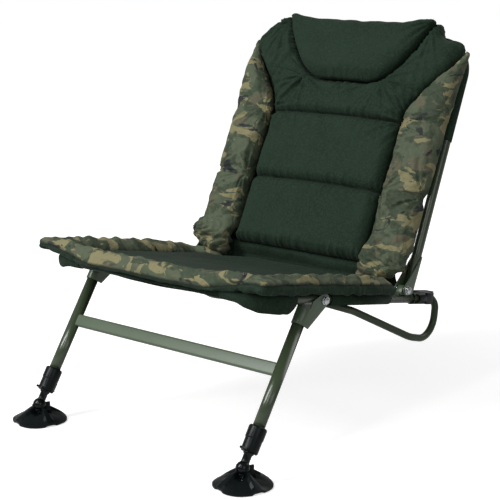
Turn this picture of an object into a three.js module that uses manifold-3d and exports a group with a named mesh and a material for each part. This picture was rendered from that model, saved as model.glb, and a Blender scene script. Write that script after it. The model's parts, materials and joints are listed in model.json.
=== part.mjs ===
// Low folding carp fishing chair: a U-shaped seat frame with a padded seat, a folding padded
// backrest, a folding front leg frame with telescopic legs and swivelling mud feet, and a bent
// rear bar that rests in clips at the ends of the rails. Millimetres, +Z up, the chair faces -Y.
import * as THREE from 'three';
import { mergeVertices } from 'three/addons/utils/BufferGeometryUtils.js';
import Module from 'manifold-3d';

const wasm = await Module();
wasm.setup();

// Stance of the chair
const SEAT_SLOPE = THREE.MathUtils.degToRad(10.5);
const LEG_SPLAY = THREE.MathUtils.degToRad(23.1);
const BACK_LEAN = THREE.MathUtils.degToRad(14.5);

// Clearances and counts shared by all pieces
const GAP = 0.3;
const RUN = 0.4;
const OVERRUN = 40;
const WELD = 0.6;
const TUBE_SIDES = 12;
const BAR_SIDES = 8;
const BEND_STEPS = 4;
const ROUND_SIDES = 20;

// Seat frame, bent from one round tube
const RAIL_SPACING = 520;
const TUBE = 19;
const TUBE_WALL = 1.2;
const RAIL_FRONT = 163;
const RAIL_REAR = 352;
const FRAME_CORNER = 55;

// Bolts
const BOLT = 8;
const HEAD_FLATS = 13;
const HEAD_HEIGHT = 5;
const WASHER = 17;
const WASHER_THICK = 1.4;

// Front leg frame: the leg axis lies ahead of its pivot, in a folded steel bracket
const LEG = 22;
const LEG_WALL = 1.2;
const LEG_OFFSET = 29;
const LEG_END = 268;
const SHEET = 2;
const SLEEVE_LENGTH = 33;
const LEG_EAR = 13;
const LEG_BAR_DROP = 148;
const LEG_BAR_DEEP = 24;
const LEG_BAR_THICK = 12;
const LEG_BAR_WALL = 1.5;
const LEG_BAR_CORNER = 3.5;

// Telescopic inner leg, its collar and the lock lever
const INNER_LEG = 19;
const INNER_LEG_WALL = 1.2;
const INNER_LEG_TOP = 66;
const COLLAR_TOP = 252;
const COLLAR_END = 299;
const COLLAR_WAIST = 275;
const COLLAR = 33;
const COLLAR_LOWER = 31;
const COLLAR_EDGE = 1.6;
const COLLAR_LIP = 4;
const COLLAR_LIP_WIDE = 16;
const LEVER_WIDE = 12;
const LEVER_TOP = 270;
const LEVER_END = 297;
const LEVER_REACH = 17;
const LEVER_THICK = 4;
const LEVER_RIBS = 4;
const LEVER_RIB = 1.3;
const LEVER_PIN = 3;
const LEVER_PIN_DROP = 274;

// Ball stud and mud foot
const BALL_DROP = 327;
const BALL = 26;
const STUD_NECK = 15;
const STUD_PLUG_LENGTH = 22;
const BALL_HEIGHT = 32;
const FOOT = 107;
const FOOT_RIM = 5;
const FOOT_TOP = 27;
const FOOT_WALL = 3;
const FOOT_FLUTE = 4.5;
const FOOT_ARCH = 4;
const FOOT_LOBES = 4;
const FOOT_SEGMENTS = 32;
const SOCKET = 33;
const SOCKET_MOUTH = THREE.MathUtils.degToRad(54);

// Rear bar: one bent tube that turns on the leg bolts and lies in the rail clips
const BAR = 14;
const BAR_WALL = 1.5;
const BAR_INSET = 22;
const BAR_SPLAY = 20;
const BAR_START = 14;
const BAR_START_DROP = 5;
const BAR_KNEE = 140;
const BAR_KNEE_DROP = 27;
const BAR_BELLY = 310;
const BAR_BELLY_DROP = 77;
const BAR_HEEL = 390;
const BAR_HEEL_DROP = 84;
const BAR_REAR = 386;
const KNEE_BEND = 150;
const BELLY_BEND = 120;
const HEEL_BEND = 42;
const TOP_BEND = 22;
const BAR_EYE = 10;
const BAR_EYE_THICK = 4;
const BAR_EYE_INSET = 17;

// Rail clip
const CLIP = 24;
const CLIP_START = 291;
const CLIP_STEP = 332;
const CLIP_BLOCK = 22;
const CLIP_ROOF = 4;
const CLIP_ROOF_REACH = 2;
const CLIP_SEAT_GAP = 1;
const CLIP_WALL = 4;
const CLIP_ARM = 19;
const CLIP_SCOOP = 9;

// Backrest pivot, bracket and frame
const BACK_PIVOT = 259;
const BACK_PIVOT_RISE = 17;
const BACK_OFFSET = 18;
const BACK_TOP = 505;
const BACK_START = 5;
const BACK_STRAIGHT = 90;
const BACK_TAPER = 8;
const BACK_CORNER = 70;
const BACK_EAR = 10.5;
const BRACKET_HEIGHT = 72;
const BRACKET_NOSE = 20;
const EAR_THICK = 12;
const EAR_BASE = 30;

// Sewn tunnels of the seat and the back
const CLOTH = 1.2;
const RAIL_TUNNEL_START = 26;
const RAIL_TUNNEL_END = 212;
const POCKET_START = 74;
const POCKET_FRONT = 84;
const POCKET_SAG = 22;
const BACK_TUNNEL_START = 305;

// Seat sling and cushion
const SLING = 1.5;
const SLING_SAG = 22;
const SLING_EDGE = 7;
const SLING_REAR = 246;
const SLING_NOTCH_DEEP = 26;
const SLING_NOTCH_START = -78;
const SLING_NOTCH_END = 22;
const SLING_NOTCH_SLOPE = 8;
const SEAT_WIDTH = 582;
const SEAT_FRONT = 191;
const SEAT_REAR = 262;
const SEAT_NECK_START = 200;
const SEAT_NECK_END = 236;
const SEAT_NECK_INSET = 27;
const SEAT_UNDERSIDE = 13.8;
const SEAT_RIM = 41;
const SEAT_FRONT_RIM = 29;
const SEAT_REAR_RIM = 26;
const SEAT_SIDE_BORDER = 53;
const SEAT_FRONT_BORDER = 41;
const SEAT_SEAM = 19;
const SEAT_DISH = 14;
const SEAT_DISH_REACH = 110;
const SEAT_EDGE_SOFT = 16;
const SEAT_CORNER = 34;
const SEAT_LIP_DROP = 9;
const SEAT_LIP_RISE = 14;
const SEAT_RAIL_ROOM = 32;
const SEAT_STEPS_ACROSS = 24;
const PAD_STEPS = 6;

// Back padding, measured along the back from its pivot
const BACK_CLOTH_START = 36;
const PAD_START = 42;
const PAD_NECK = 400;
const PAD_TOP = 507;
const PAD_LIFT = 30;
const PAD_LIFT_START = 228;
const PAD_LIFT_END = 186;
const PAD_WAIST = 338;
const PAD_SHOULDER = 516;
const SHOULDER_START = 326;
const SHOULDER_END = 486;
const SHOULDER_THICK = 22;
const PAD_CORNER = 20;
const PAD_THICK = 32;
const PAD_EDGE = 7;
const CHANNEL_HIGH = 322;
const CHANNEL_LOW = 177;
const CHANNEL_WIDE = 20;
const CHANNEL_DEPTH = 19;
const BOLSTER_OUTER = 532;
const BOLSTER_TOP_OUTER = 524;
const BOLSTER_TOP = 474;
const BOLSTER_START = 50;
const BOLSTER_THICK = 31;
const PILLOW_WIDTH = 364;
const PILLOW_BASE_WIDTH = 176;
const PILLOW_BOTTOM = 396;
const PILLOW_TOP = 541;
const PILLOW_THICK = 38;
const GUSSET_WIDTH = 450;
const GUSSET_DIP = 3;

// Shares of the sizes above, chosen by eye
const COLLAR_CHAMFER_SHARE = 0.5;
const SEAT_ROLL_SHARE = 0.36;
const PILLOW_SIDE_SHARES = [0, 0.21, 0.44, 0.62, 0.74, 0.86, 1];
const FOOT_PROFILE_SHARES = [0.26, 0.42, 0.58, 0.74, 0.88, 0.97];
const FOOT_FALL_SHARES = [0.03, 0.22, 0.43, 0.65, 0.84, 0.95];
const FOOT_FLAT_SHARE = 0.2;

// Sizes worked out from the ones above
const HALF_SPACING = RAIL_SPACING / 2;
const TUBE_R = TUBE / 2;
const LEG_R = LEG / 2;
const BRACKET_INNER = LEG_R + GAP;
const BRACKET_OUTER = BRACKET_INNER + SHEET;
const BRACKET_FRONT = LEG_OFFSET + BRACKET_OUTER;
const LEG_TOP = (TUBE_R + RUN + BRACKET_FRONT * Math.sin(LEG_SPLAY)) / Math.cos(LEG_SPLAY);
const BACK_INNER = TUBE_R + GAP;
const BACK_OUTER = BACK_INNER + SHEET;
const TUNNEL_INNER = TUBE_R + GAP;
const TUNNEL_OUTER = TUNNEL_INNER + CLOTH;
const BACK_FACE = BACK_OFFSET - TUNNEL_OUTER - GAP;
const PAD_BACK = BACK_FACE - SLING - GAP;
const CHORD_SHARE = Math.cos(Math.PI / 4 / BEND_STEPS);
const BOLT_HOLE = (BOLT / 2 + GAP / 2) / Math.cos(Math.PI / BAR_SIDES);
const PIN_HOLE = (LEVER_PIN / 2 + GAP / 2) / Math.cos(Math.PI / BAR_SIDES);

const STEEL_GREEN = { color: 0x4d5741, roughness: 0.38, metalness: 0.35 };
const STEEL_LIGHT = { color: 0x66735a, roughness: 0.4, metalness: 0.35 };
const BLACK_PLASTIC = { color: 0x17191a, roughness: 0.45, metalness: 0 };
const ZINC = { color: 0xc9ccce, roughness: 0.28, metalness: 1 };
const GREEN_CLOTH = { color: 0x26382e, roughness: 0.85, metalness: 0 };
const CAMO_CLOTH = { color: 0x5a5a44, roughness: 0.85, metalness: 0 };

// Helpers for closed solids
function merged(geometry) {
  const bare = geometry.index ? geometry.clone() : geometry;
  for (const key of Object.keys(bare.attributes)) {
    if (key !== 'position') bare.deleteAttribute(key);
  }
  const body = mergeVertices(bare);
  const kept = [];
  for (let i = 0; i < body.index.count; i += 3) {
    const [a, b, c] = [body.index.getX(i), body.index.getX(i + 1), body.index.getX(i + 2)];
    if (a !== b && b !== c && c !== a) kept.push(a, b, c);
  }
  body.setIndex(kept);
  return body;
}

function signedVolume(geometry) {
  const p = geometry.attributes.position;
  const a = new THREE.Vector3();
  const b = new THREE.Vector3();
  const c = new THREE.Vector3();
  let sum = 0;
  for (let i = 0; i < geometry.index.count; i += 3) {
    a.fromBufferAttribute(p, geometry.index.getX(i));
    b.fromBufferAttribute(p, geometry.index.getX(i + 1));
    c.fromBufferAttribute(p, geometry.index.getX(i + 2));
    sum += a.dot(b.cross(c));
  }
  return sum;
}

// A closed mesh with its faces pointing out, whichever way its outline was drawn
function closed(geometry) {
  const body = merged(geometry);
  if (signedVolume(body) < 0) {
    const index = body.index;
    for (let i = 0; i < index.count; i += 3) {
      const second = index.getX(i + 1);
      index.setX(i + 1, index.getX(i + 2));
      index.setX(i + 2, second);
    }
  }
  return body;
}

function solid(geometry) {
  const body = closed(geometry);
  const mesh = new wasm.Mesh({
    numProp: 3,
    vertProperties: new Float32Array(body.attributes.position.array),
    triVerts: new Uint32Array(body.index.array),
  });
  return new wasm.Manifold(mesh);
}

function fromSolid(body) {
  const mesh = body.getMesh();
  const geometry = new THREE.BufferGeometry();
  geometry.setAttribute('position', new THREE.BufferAttribute(mesh.vertProperties, 3));
  geometry.setIndex(new THREE.BufferAttribute(mesh.triVerts, 1));
  return geometry;
}

function join(...pieces) {
  return fromSolid(pieces.map(solid).reduce((whole, piece) => whole.add(piece)));
}

function cut(base, ...tools) {
  return fromSolid(tools.map(solid).reduce((rest, tool) => rest.subtract(tool), solid(base)));
}

// Basic forms
const ring = (radius, sides) => Array.from({ length: sides }, (_, i) => {
  const angle = (2 * Math.PI * (i + 0.5)) / sides;
  return new THREE.Vector2(radius * Math.cos(angle), radius * Math.sin(angle));
});

function annulus(outer, inner, sides) {
  const shape = new THREE.Shape(ring(outer, sides));
  shape.holes.push(new THREE.Path(ring(inner, sides).reverse()));
  return shape;
}

// A path through corner points with a round bend at each corner
class BentPath extends THREE.Curve {
  constructor(corners, bends) {
    super();
    this.stations = [corners[0]];
    for (let i = 1; i < corners.length - 1; i += 1) {
      const into = corners[i - 1].clone().sub(corners[i]).normalize();
      const out = corners[i + 1].clone().sub(corners[i]).normalize();
      const half = into.angleTo(out) / 2;
      const radius = bends[i - 1];
      const centre = into.clone().add(out).normalize();
      centre.multiplyScalar(radius / Math.sin(half)).add(corners[i]);
      const first = into.clone().multiplyScalar(radius / Math.tan(half)).add(corners[i]).sub(centre);
      const last = out.clone().multiplyScalar(radius / Math.tan(half)).add(corners[i]).sub(centre);
      const axis = first.clone().cross(last).normalize();
      for (let k = 0; k <= BEND_STEPS; k += 1) {
        const spoke = first.clone().applyAxisAngle(axis, (first.angleTo(last) * k) / BEND_STEPS);
        this.stations.push(spoke.add(centre));
      }
    }
    this.stations.push(corners[corners.length - 1]);
  }

  get steps() {
    return this.stations.length - 1;
  }

  getPointAt(u, target = new THREE.Vector3()) {
    return target.copy(this.stations[Math.round(u * this.steps)]);
  }

  getTangentAt(u, target = new THREE.Vector3()) {
    const i = Math.round(u * this.steps);
    const before = this.stations[Math.max(i - 1, 0)];
    const after = this.stations[Math.min(i + 1, this.steps)];
    return target.subVectors(after, before).normalize();
  }
}

function sweep(shape, path) {
  return closed(new THREE.ExtrudeGeometry(shape, { steps: path.steps, extrudePath: path }));
}

function straight(shape, from, to) {
  return sweep(shape, new BentPath([from, to], []));
}

const at = (x, y, z) => new THREE.Vector3(x, y, z);

// A plate whose outline is drawn in the Y-Z plane, standing between two places along X
function plate(points, from, to) {
  const geometry = new THREE.ExtrudeGeometry(new THREE.Shape(points), {
    depth: to - from,
    bevelEnabled: false,
    curveSegments: ROUND_SIDES,
  });
  const basis = new THREE.Matrix4().makeBasis(at(0, 1, 0), at(0, 0, 1), at(1, 0, 0));
  return geometry.applyMatrix4(basis).translate(from, 0, 0);
}

// A round or many-sided bar along X
function barX(radius, from, to, sides = ROUND_SIDES) {
  return new THREE.CylinderGeometry(radius, radius, to - from, sides)
    .rotateZ(Math.PI / 2)
    .translate((from + to) / 2, 0, 0);
}

function barZ(radius, from, to, sides = ROUND_SIDES) {
  return new THREE.CylinderGeometry(radius, radius, to - from, sides)
    .rotateX(Math.PI / 2)
    .translate(0, 0, (from + to) / 2);
}

function block(low, high) {
  const size = high.clone().sub(low);
  const middle = low.clone().add(high).multiplyScalar(1 / 2);
  return new THREE.BoxGeometry(size.x, size.y, size.z).translate(middle.x, middle.y, middle.z);
}

// A turned piece about Z, from [radius, height] pairs
function turned(profile, sides = ROUND_SIDES) {
  const points = profile.map(([radius, height]) => new THREE.Vector2(radius, height));
  return new THREE.LatheGeometry(points, sides).rotateX(Math.PI / 2);
}

const arcPoints = (y, z, radius, from, to, steps = BEND_STEPS) => Array.from(
  { length: steps + 1 },
  (_, i) => {
    const angle = from + ((to - from) * i) / steps;
    return new THREE.Vector2(y + radius * Math.cos(angle), z + radius * Math.sin(angle));
  },
);

// A padded or sheet form between two surfaces over a grid of places
function quilt(across, along, place) {
  const positions = [];
  const index = [];
  const rows = along.length;
  const cols = across.length;
  for (const face of [0, 1]) {
    for (const v of along) {
      for (const u of across) {
        const p = place(u, v, face);
        positions.push(p.x, p.y, p.z);
      }
    }
  }
  const id = (face, row, col) => face * rows * cols + row * cols + col;
  const quad = (a, b, c, d) => index.push(a, b, c, a, c, d);
  for (let r = 0; r < rows - 1; r += 1) {
    for (let c = 0; c < cols - 1; c += 1) {
      quad(id(0, r, c), id(0, r, c + 1), id(0, r + 1, c + 1), id(0, r + 1, c));
      quad(id(1, r, c), id(1, r + 1, c), id(1, r + 1, c + 1), id(1, r, c + 1));
    }
  }
  for (let c = 0; c < cols - 1; c += 1) {
    quad(id(0, 0, c), id(1, 0, c), id(1, 0, c + 1), id(0, 0, c + 1));
    quad(id(0, rows - 1, c), id(0, rows - 1, c + 1), id(1, rows - 1, c + 1), id(1, rows - 1, c));
  }
  for (let r = 0; r < rows - 1; r += 1) {
    quad(id(0, r, 0), id(0, r + 1, 0), id(1, r + 1, 0), id(1, r, 0));
    quad(id(0, r, cols - 1), id(1, r, cols - 1), id(1, r + 1, cols - 1), id(0, r + 1, cols - 1));
  }
  const geometry = new THREE.BufferGeometry();
  geometry.setAttribute('position', new THREE.Float32BufferAttribute(positions, 3));
  geometry.setIndex(index);
  return closed(geometry);
}

// Places between two ends that crowd towards both, so soft edges come out round
const crowded = (from, to, steps) => Array.from(
  { length: steps + 1 },
  (_, i) => from + ((to - from) * (1 - Math.cos((Math.PI * i) / steps))) / 2,
);

const spread = (from, to, steps) => Array.from(
  { length: steps + 1 },
  (_, i) => from + ((to - from) * i) / steps,
);

// How full a cushion is at a distance from its edge, from 0 at the edge to 1 inside
function fullness(distance, soft) {
  const share = THREE.MathUtils.clamp(distance / soft, 0, 1);
  return Math.sqrt(1 - (1 - share) ** 2);
}

const blend = THREE.MathUtils.smoothstep;
const mix = THREE.MathUtils.lerp;

function add(group, name, geometry, look) {
  const material = new THREE.MeshStandardMaterial(look);
  const mesh = new THREE.Mesh(closed(geometry), material);
  mesh.name = name;
  group.add(mesh);
  return mesh;
}

// Groups: the seat is tilted on the pivot line of the legs, and the legs and back turn in it
const chair = new THREE.Group();
const seat = new THREE.Group();
const legs = new THREE.Group();
const back = new THREE.Group();
seat.rotation.x = -SEAT_SLOPE;
legs.rotation.x = -LEG_SPLAY;
back.rotation.x = -BACK_LEAN;
back.position.set(0, BACK_PIVOT, BACK_PIVOT_RISE);
chair.add(seat);
seat.add(legs, back);

const SIDES = [['left', 1], ['right', -1]];

// Seat frame with the cross holes for the leg bolts
function seatFrame() {
  const path = new BentPath([
    at(HALF_SPACING, RAIL_REAR, 0),
    at(HALF_SPACING, -RAIL_FRONT, 0),
    at(-HALF_SPACING, -RAIL_FRONT, 0),
    at(-HALF_SPACING, RAIL_REAR, 0),
  ], [FRAME_CORNER, FRAME_CORNER]);
  const tube = sweep(annulus(TUBE_R, TUBE_R - TUBE_WALL, TUBE_SIDES), path);
  return cut(tube, barX(BOLT_HOLE, -HALF_SPACING - OVERRUN, HALF_SPACING + OVERRUN, BAR_SIDES));
}
add(seat, 'seat_frame', seatFrame(), STEEL_GREEN);

// Bolt along X with its head outside, washers in the gaps it passes, and a nut inside
function bolt(headSeat, nutSeat, washers) {
  const head = headSeat + WASHER_THICK;
  const nut = nutSeat - WASHER_THICK;
  const hexRadius = HEAD_FLATS / Math.sqrt(3);
  const dome = turned([
    [0, head + HEAD_HEIGHT + COLLAR_EDGE],
    [HEAD_FLATS / 4, head + HEAD_HEIGHT + COLLAR_EDGE / 2],
    [HEAD_FLATS / 2 - COLLAR_EDGE / 2, head + HEAD_HEIGHT - COLLAR_EDGE / 2],
    [HEAD_FLATS / 2 - COLLAR_EDGE / 2, head],
    [0, head],
  ], BAR_SIDES).rotateY(Math.PI / 2);
  const flats = barX(hexRadius, headSeat, head + HEAD_HEIGHT - COLLAR_EDGE / 2, 6);
  const nutFlats = barX(hexRadius, nut - HEAD_HEIGHT, nut + WELD, 6);
  const shank = barX(BOLT / 2, nut - HEAD_HEIGHT - WASHER_THICK, head + WELD, BAR_SIDES);
  const discs = [[headSeat, head], [nut, nutSeat], ...washers];
  return join(flats, dome, shank, nutFlats, ...discs.map(([a, b]) => barX(WASHER / 2, a, b, ROUND_SIDES / 2)));
}

for (const [name, side] of SIDES) {
  const geometry = bolt(BRACKET_OUTER + GAP, -BAR_EYE_INSET - BAR_EYE_THICK / 2 - GAP, [
    [TUBE_R + GAP, BRACKET_INNER - GAP],
    [-BRACKET_INNER + GAP, -TUBE_R - GAP],
    [-BAR_EYE_INSET + BAR_EYE_THICK / 2 + GAP, -BRACKET_OUTER - GAP],
  ]);
  if (side < 0) geometry.rotateY(Math.PI);
  add(seat, `leg_bolt_${name}`, geometry, ZINC).position.set(side * HALF_SPACING, 0, 0);
}

// Ear on the rail that carries the backrest bolt
function backEar() {
  const rise = BACK_PIVOT_RISE;
  const outline = [
    new THREE.Vector2(-EAR_BASE / 2, 0),
    ...arcPoints(0, rise, BACK_EAR - SHEET, Math.PI - Math.PI / 6, Math.PI / 6),
    new THREE.Vector2(EAR_BASE / 2, 0),
  ];
  const lug = plate(outline, -EAR_THICK / 2, EAR_THICK / 2);
  const rail = barZ(TUBE_R + GAP, -OVERRUN, OVERRUN).rotateX(Math.PI / 2);
  const hole = barX(BOLT_HOLE, -OVERRUN, OVERRUN, BAR_SIDES).translate(0, 0, rise);
  return cut(lug, rail, hole);
}

for (const [name, side] of SIDES) {
  add(seat, `back_ear_${name}`, backEar(), STEEL_GREEN).position.set(side * HALF_SPACING, BACK_PIVOT, 0);
  const geometry = bolt(BACK_OUTER + GAP, -BACK_OUTER - GAP, [
    [EAR_THICK / 2 + GAP, BACK_INNER - GAP],
    [-BACK_INNER + GAP, -EAR_THICK / 2 - GAP],
  ]);
  if (side < 0) geometry.rotateY(Math.PI);
  add(seat, `back_bolt_${name}`, geometry, ZINC)
    .position.set(side * HALF_SPACING, BACK_PIVOT, BACK_PIVOT_RISE);
}

// Clip on the end of the rail: a scooped sleeve, a block, and an arm inside it with a roof over
// the bar
function railClip() {
  const barFront = BAR_REAR - BAR / 2 - CLIP_SEAT_GAP;
  const roofEnd = BAR_REAR + CLIP_ROOF_REACH;
  const half = CLIP_BLOCK / 2;
  const inner = -half - CLIP_ARM;
  const sleeve = barZ(CLIP / 2, 0, CLIP_STEP - CLIP_START + WELD);
  sleeve.rotateX(-Math.PI / 2).translate(0, CLIP_START, 0);
  const body = block(at(-half, CLIP_STEP, -half), at(half, RAIL_REAR + CLIP_WALL, half));
  const arm = block(at(inner, CLIP_STEP, -half), at(-half + WELD, barFront, half));
  const roof = block(at(inner, barFront - WELD, half - CLIP_ROOF + RUN), at(-half + WELD, roofEnd, half));
  const bore = barZ(TUBE_R + GAP, 0, RAIL_REAR - CLIP_START + GAP + OVERRUN);
  bore.rotateX(-Math.PI / 2).translate(0, CLIP_START - OVERRUN, 0);
  const scoop = barX(CLIP_SCOOP, 0, OVERRUN).translate(0, CLIP_START + CLIP_SCOOP, 0);
  return cut(join(sleeve, body, arm, roof), bore, scoop);
}

for (const [name, side] of SIDES) {
  const geometry = railClip();
  if (side < 0) geometry.scale(-1, 1, 1);
  add(seat, `rail_clip_${name}`, geometry, BLACK_PLASTIC).position.set(side * HALF_SPACING, 0, 0);
}

// Rear bar with a lug at each end that turns on the leg bolt
function rearBar() {
  const wide = HALF_SPACING - BAR_INSET;
  const rear = wide + BAR_SPLAY;
  const half = (sign) => [
    at(sign * wide, BAR_START, -BAR_START_DROP),
    at(sign * wide, BAR_KNEE, -BAR_KNEE_DROP),
    at(sign * rear, BAR_BELLY, -BAR_BELLY_DROP),
    at(sign * rear, BAR_HEEL, -BAR_HEEL_DROP),
    at(sign * rear, BAR_REAR, 0),
  ];
  const corners = [...half(1), ...half(-1).reverse()];
  const oneSide = [KNEE_BEND, BELLY_BEND, HEEL_BEND, TOP_BEND];
  const bends = [...oneSide, ...oneSide.slice().reverse()];
  const tube = sweep(annulus(BAR / 2, BAR / 2 - BAR_WALL, BAR_SIDES), new BentPath(corners, bends));
  const lugs = SIDES.map(([, side]) => {
    const middle = side * (HALF_SPACING - BAR_EYE_INSET);
    const tail = BAR_START + BAR;
    const outline = [
      ...arcPoints(0, 0, BAR_EYE, Math.PI / 2, 2 * Math.PI - Math.PI / 2),
      new THREE.Vector2(tail, -BAR_START_DROP - BAR / 2 + BAR_WALL / 2),
      new THREE.Vector2(tail, -BAR_START_DROP + BAR / 4),
    ];
    return plate(outline, middle - BAR_EYE_THICK / 2, middle + BAR_EYE_THICK / 2);
  });
  const holes = barX(BOLT_HOLE, -HALF_SPACING, HALF_SPACING, BAR_SIDES);
  return cut(join(tube, ...lugs), holes);
}
add(seat, 'rear_bar', rearBar(), STEEL_GREEN);

// Leg bracket: a folded sheet round the top of the leg, with an ear on each side of the rail
function legBracket() {
  const front = -BRACKET_FRONT;
  const rear = -LEG_OFFSET + BRACKET_OUTER;
  const top = -LEG_TOP;
  const bottom = top - SLEEVE_LENGTH;
  const outline = [
    new THREE.Vector2(front + SHEET / 2, bottom),
    new THREE.Vector2(rear, bottom),
    ...arcPoints(0, 0, LEG_EAR, -Math.PI / 6, Math.PI / 2 + Math.PI / 3),
    new THREE.Vector2(front + SHEET / 2, top),
  ];
  const u = new THREE.Shape([
    new THREE.Vector2(-BRACKET_OUTER, BRACKET_OUTER),
    ...arcPoints(0, 0, BRACKET_OUTER, Math.PI, 2 * Math.PI, 2 * BEND_STEPS),
    new THREE.Vector2(BRACKET_OUTER, BRACKET_OUTER),
    new THREE.Vector2(BRACKET_INNER, BRACKET_OUTER),
    ...arcPoints(0, 0, BRACKET_INNER, 2 * Math.PI, Math.PI, 2 * BEND_STEPS),
    new THREE.Vector2(-BRACKET_INNER, BRACKET_OUTER),
  ]);
  const sleeve = new THREE.ExtrudeGeometry(u, { depth: SLEEVE_LENGTH, bevelEnabled: false })
    .translate(0, -LEG_OFFSET, bottom);
  const cheeks = [-BRACKET_OUTER, BRACKET_INNER].map((x) => plate(outline, x, x + SHEET));
  const legRoom = barZ(BRACKET_INNER, bottom - OVERRUN, OVERRUN).translate(0, -LEG_OFFSET, 0);
  const inside = block(
    at(-BRACKET_INNER, front - OVERRUN, bottom - OVERRUN),
    at(BRACKET_INNER, -LEG_OFFSET, OVERRUN),
  );
  const noses = cheeks.map((cheek) => {
    const round = barZ(BRACKET_OUTER, bottom - WELD, top + WELD, ROUND_SIDES).translate(0, -LEG_OFFSET, 0);
    const trim = cut(
      block(
        at(-BRACKET_OUTER - WELD, front - WELD, bottom - OVERRUN),
        at(BRACKET_OUTER + WELD, -LEG_OFFSET, OVERRUN),
      ),
      round,
    );
    return cut(cheek, trim);
  });
  const whole = join(sleeve, ...noses);
  const hole = barX(BOLT_HOLE, -OVERRUN, OVERRUN, BAR_SIDES);
  return cut(whole, hole, fromSolid(solid(legRoom).intersect(solid(inside))));
}

// Leg frame: two tubes joined by a flat-sided bar with fish-mouthed ends
for (const [name, side] of SIDES) {
  const x = side * HALF_SPACING;
  add(legs, `leg_bracket_${name}`, legBracket(), STEEL_LIGHT).position.set(x, 0, 0);
  const tube = straight(annulus(LEG_R, LEG_R - LEG_WALL, ROUND_SIDES), at(0, 0, -LEG_END), at(0, 0, -LEG_TOP));
  add(legs, `leg_tube_${name}`, tube, STEEL_GREEN).position.set(x, -LEG_OFFSET, 0);
}

function legCrossbar() {
  const quarter = Math.PI / 2;
  const rounded = (deep, thick, corner) => {
    const y = thick / 2 - corner;
    const z = deep / 2 - corner;
    return [
      ...arcPoints(y, z, corner, 0, quarter),
      ...arcPoints(-y, z, corner, quarter, Math.PI),
      ...arcPoints(-y, -z, corner, Math.PI, Math.PI + quarter),
      ...arcPoints(y, -z, corner, Math.PI + quarter, 2 * Math.PI),
    ];
  };
  const length = HALF_SPACING - LEG_R + WELD * 4;
  const outer = plate(rounded(LEG_BAR_DEEP, LEG_BAR_THICK, LEG_BAR_CORNER), -length, length);
  const hollow = plate(
    rounded(
      LEG_BAR_DEEP - 2 * LEG_BAR_WALL,
      LEG_BAR_THICK - 2 * LEG_BAR_WALL,
      LEG_BAR_CORNER - LEG_BAR_WALL,
    ),
    -length - OVERRUN,
    length + OVERRUN,
  );
  const mouths = [-HALF_SPACING, HALF_SPACING].map(
    (x) => barZ(LEG_R + GAP, -LEG_BAR_DEEP, LEG_BAR_DEEP).translate(x, 0, 0),
  );
  return cut(outer, hollow, ...mouths);
}
add(legs, 'leg_crossbar', legCrossbar(), STEEL_LIGHT).position.set(0, -LEG_OFFSET, -LEG_BAR_DROP);

// Collar on the leg's end, with a rear slot for the lock lever and a small front lip
function collar() {
  const edge = COLLAR_EDGE;
  const profile = [
    [LEG_R + GAP, -COLLAR_TOP],
    [COLLAR / 2 - edge, -COLLAR_TOP],
    [COLLAR / 2, -COLLAR_TOP - edge * (1 + COLLAR_CHAMFER_SHARE)],
    [COLLAR / 2, -COLLAR_WAIST + edge],
    [COLLAR_LOWER / 2, -COLLAR_WAIST],
    [COLLAR_LOWER / 2, -COLLAR_END + edge],
    [COLLAR_LOWER / 2 - edge, -COLLAR_END],
    [INNER_LEG / 2 + GAP, -COLLAR_END],
    [INNER_LEG / 2 + GAP, -LEG_END - GAP],
    [LEG_R + GAP, -LEG_END - GAP],
    [LEG_R + GAP, -COLLAR_TOP],
  ];
  const lip = block(
    at(-COLLAR_LIP_WIDE / 2, -COLLAR_LOWER / 2 - COLLAR_LIP, -COLLAR_END + edge),
    at(COLLAR_LIP_WIDE / 2, -COLLAR_LOWER / 2 + COLLAR_LIP, -COLLAR_END + edge + COLLAR_LIP),
  );
  const slot = block(
    at(-LEVER_WIDE / 2 - RUN, INNER_LEG / 2, -COLLAR_END - OVERRUN),
    at(LEVER_WIDE / 2 + RUN, COLLAR, -LEVER_TOP + RUN),
  );
  const pin = barX(PIN_HOLE, -COLLAR, COLLAR, BAR_SIDES)
    .translate(0, LEVER_REACH - LEVER_THICK, -LEVER_PIN_DROP);
  return cut(join(turned(profile), lip), slot, pin);
}

// Lever with a nose that bears on the inner leg and ribs for the thumb
function lockLever() {
  const inner = LEVER_REACH - LEVER_THICK;
  const nose = INNER_LEG / 2 + GAP + RUN;
  const pitch = (LEVER_END - LEVER_PIN_DROP) / (LEVER_RIBS + 1);
  const ribs = Array.from({ length: LEVER_RIBS }, (_, i) => {
    const z = -LEVER_PIN_DROP - pitch * (i + 1);
    return [
      new THREE.Vector2(LEVER_REACH, z + LEVER_RIB),
      new THREE.Vector2(LEVER_REACH + LEVER_RIB, z + LEVER_RIB / 2),
      new THREE.Vector2(LEVER_REACH + LEVER_RIB, z - LEVER_RIB / 2),
      new THREE.Vector2(LEVER_REACH, z - LEVER_RIB),
    ];
  }).flat();
  const outline = [
    new THREE.Vector2(nose, -LEVER_TOP - LEVER_RIB),
    new THREE.Vector2(inner, -LEVER_TOP),
    new THREE.Vector2(LEVER_REACH, -LEVER_TOP - LEVER_RIB),
    ...ribs,
    new THREE.Vector2(LEVER_REACH - LEVER_RIB, -LEVER_END),
    new THREE.Vector2(inner, -LEVER_END),
    new THREE.Vector2(inner, -LEVER_PIN_DROP - LEVER_THICK),
    new THREE.Vector2(nose, -LEVER_PIN_DROP - LEVER_RIB),
  ];
  const pin = barX(PIN_HOLE, -COLLAR, COLLAR, BAR_SIDES)
    .translate(0, inner, -LEVER_PIN_DROP);
  return cut(plate(outline, -LEVER_WIDE / 2, LEVER_WIDE / 2), pin);
}

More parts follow.
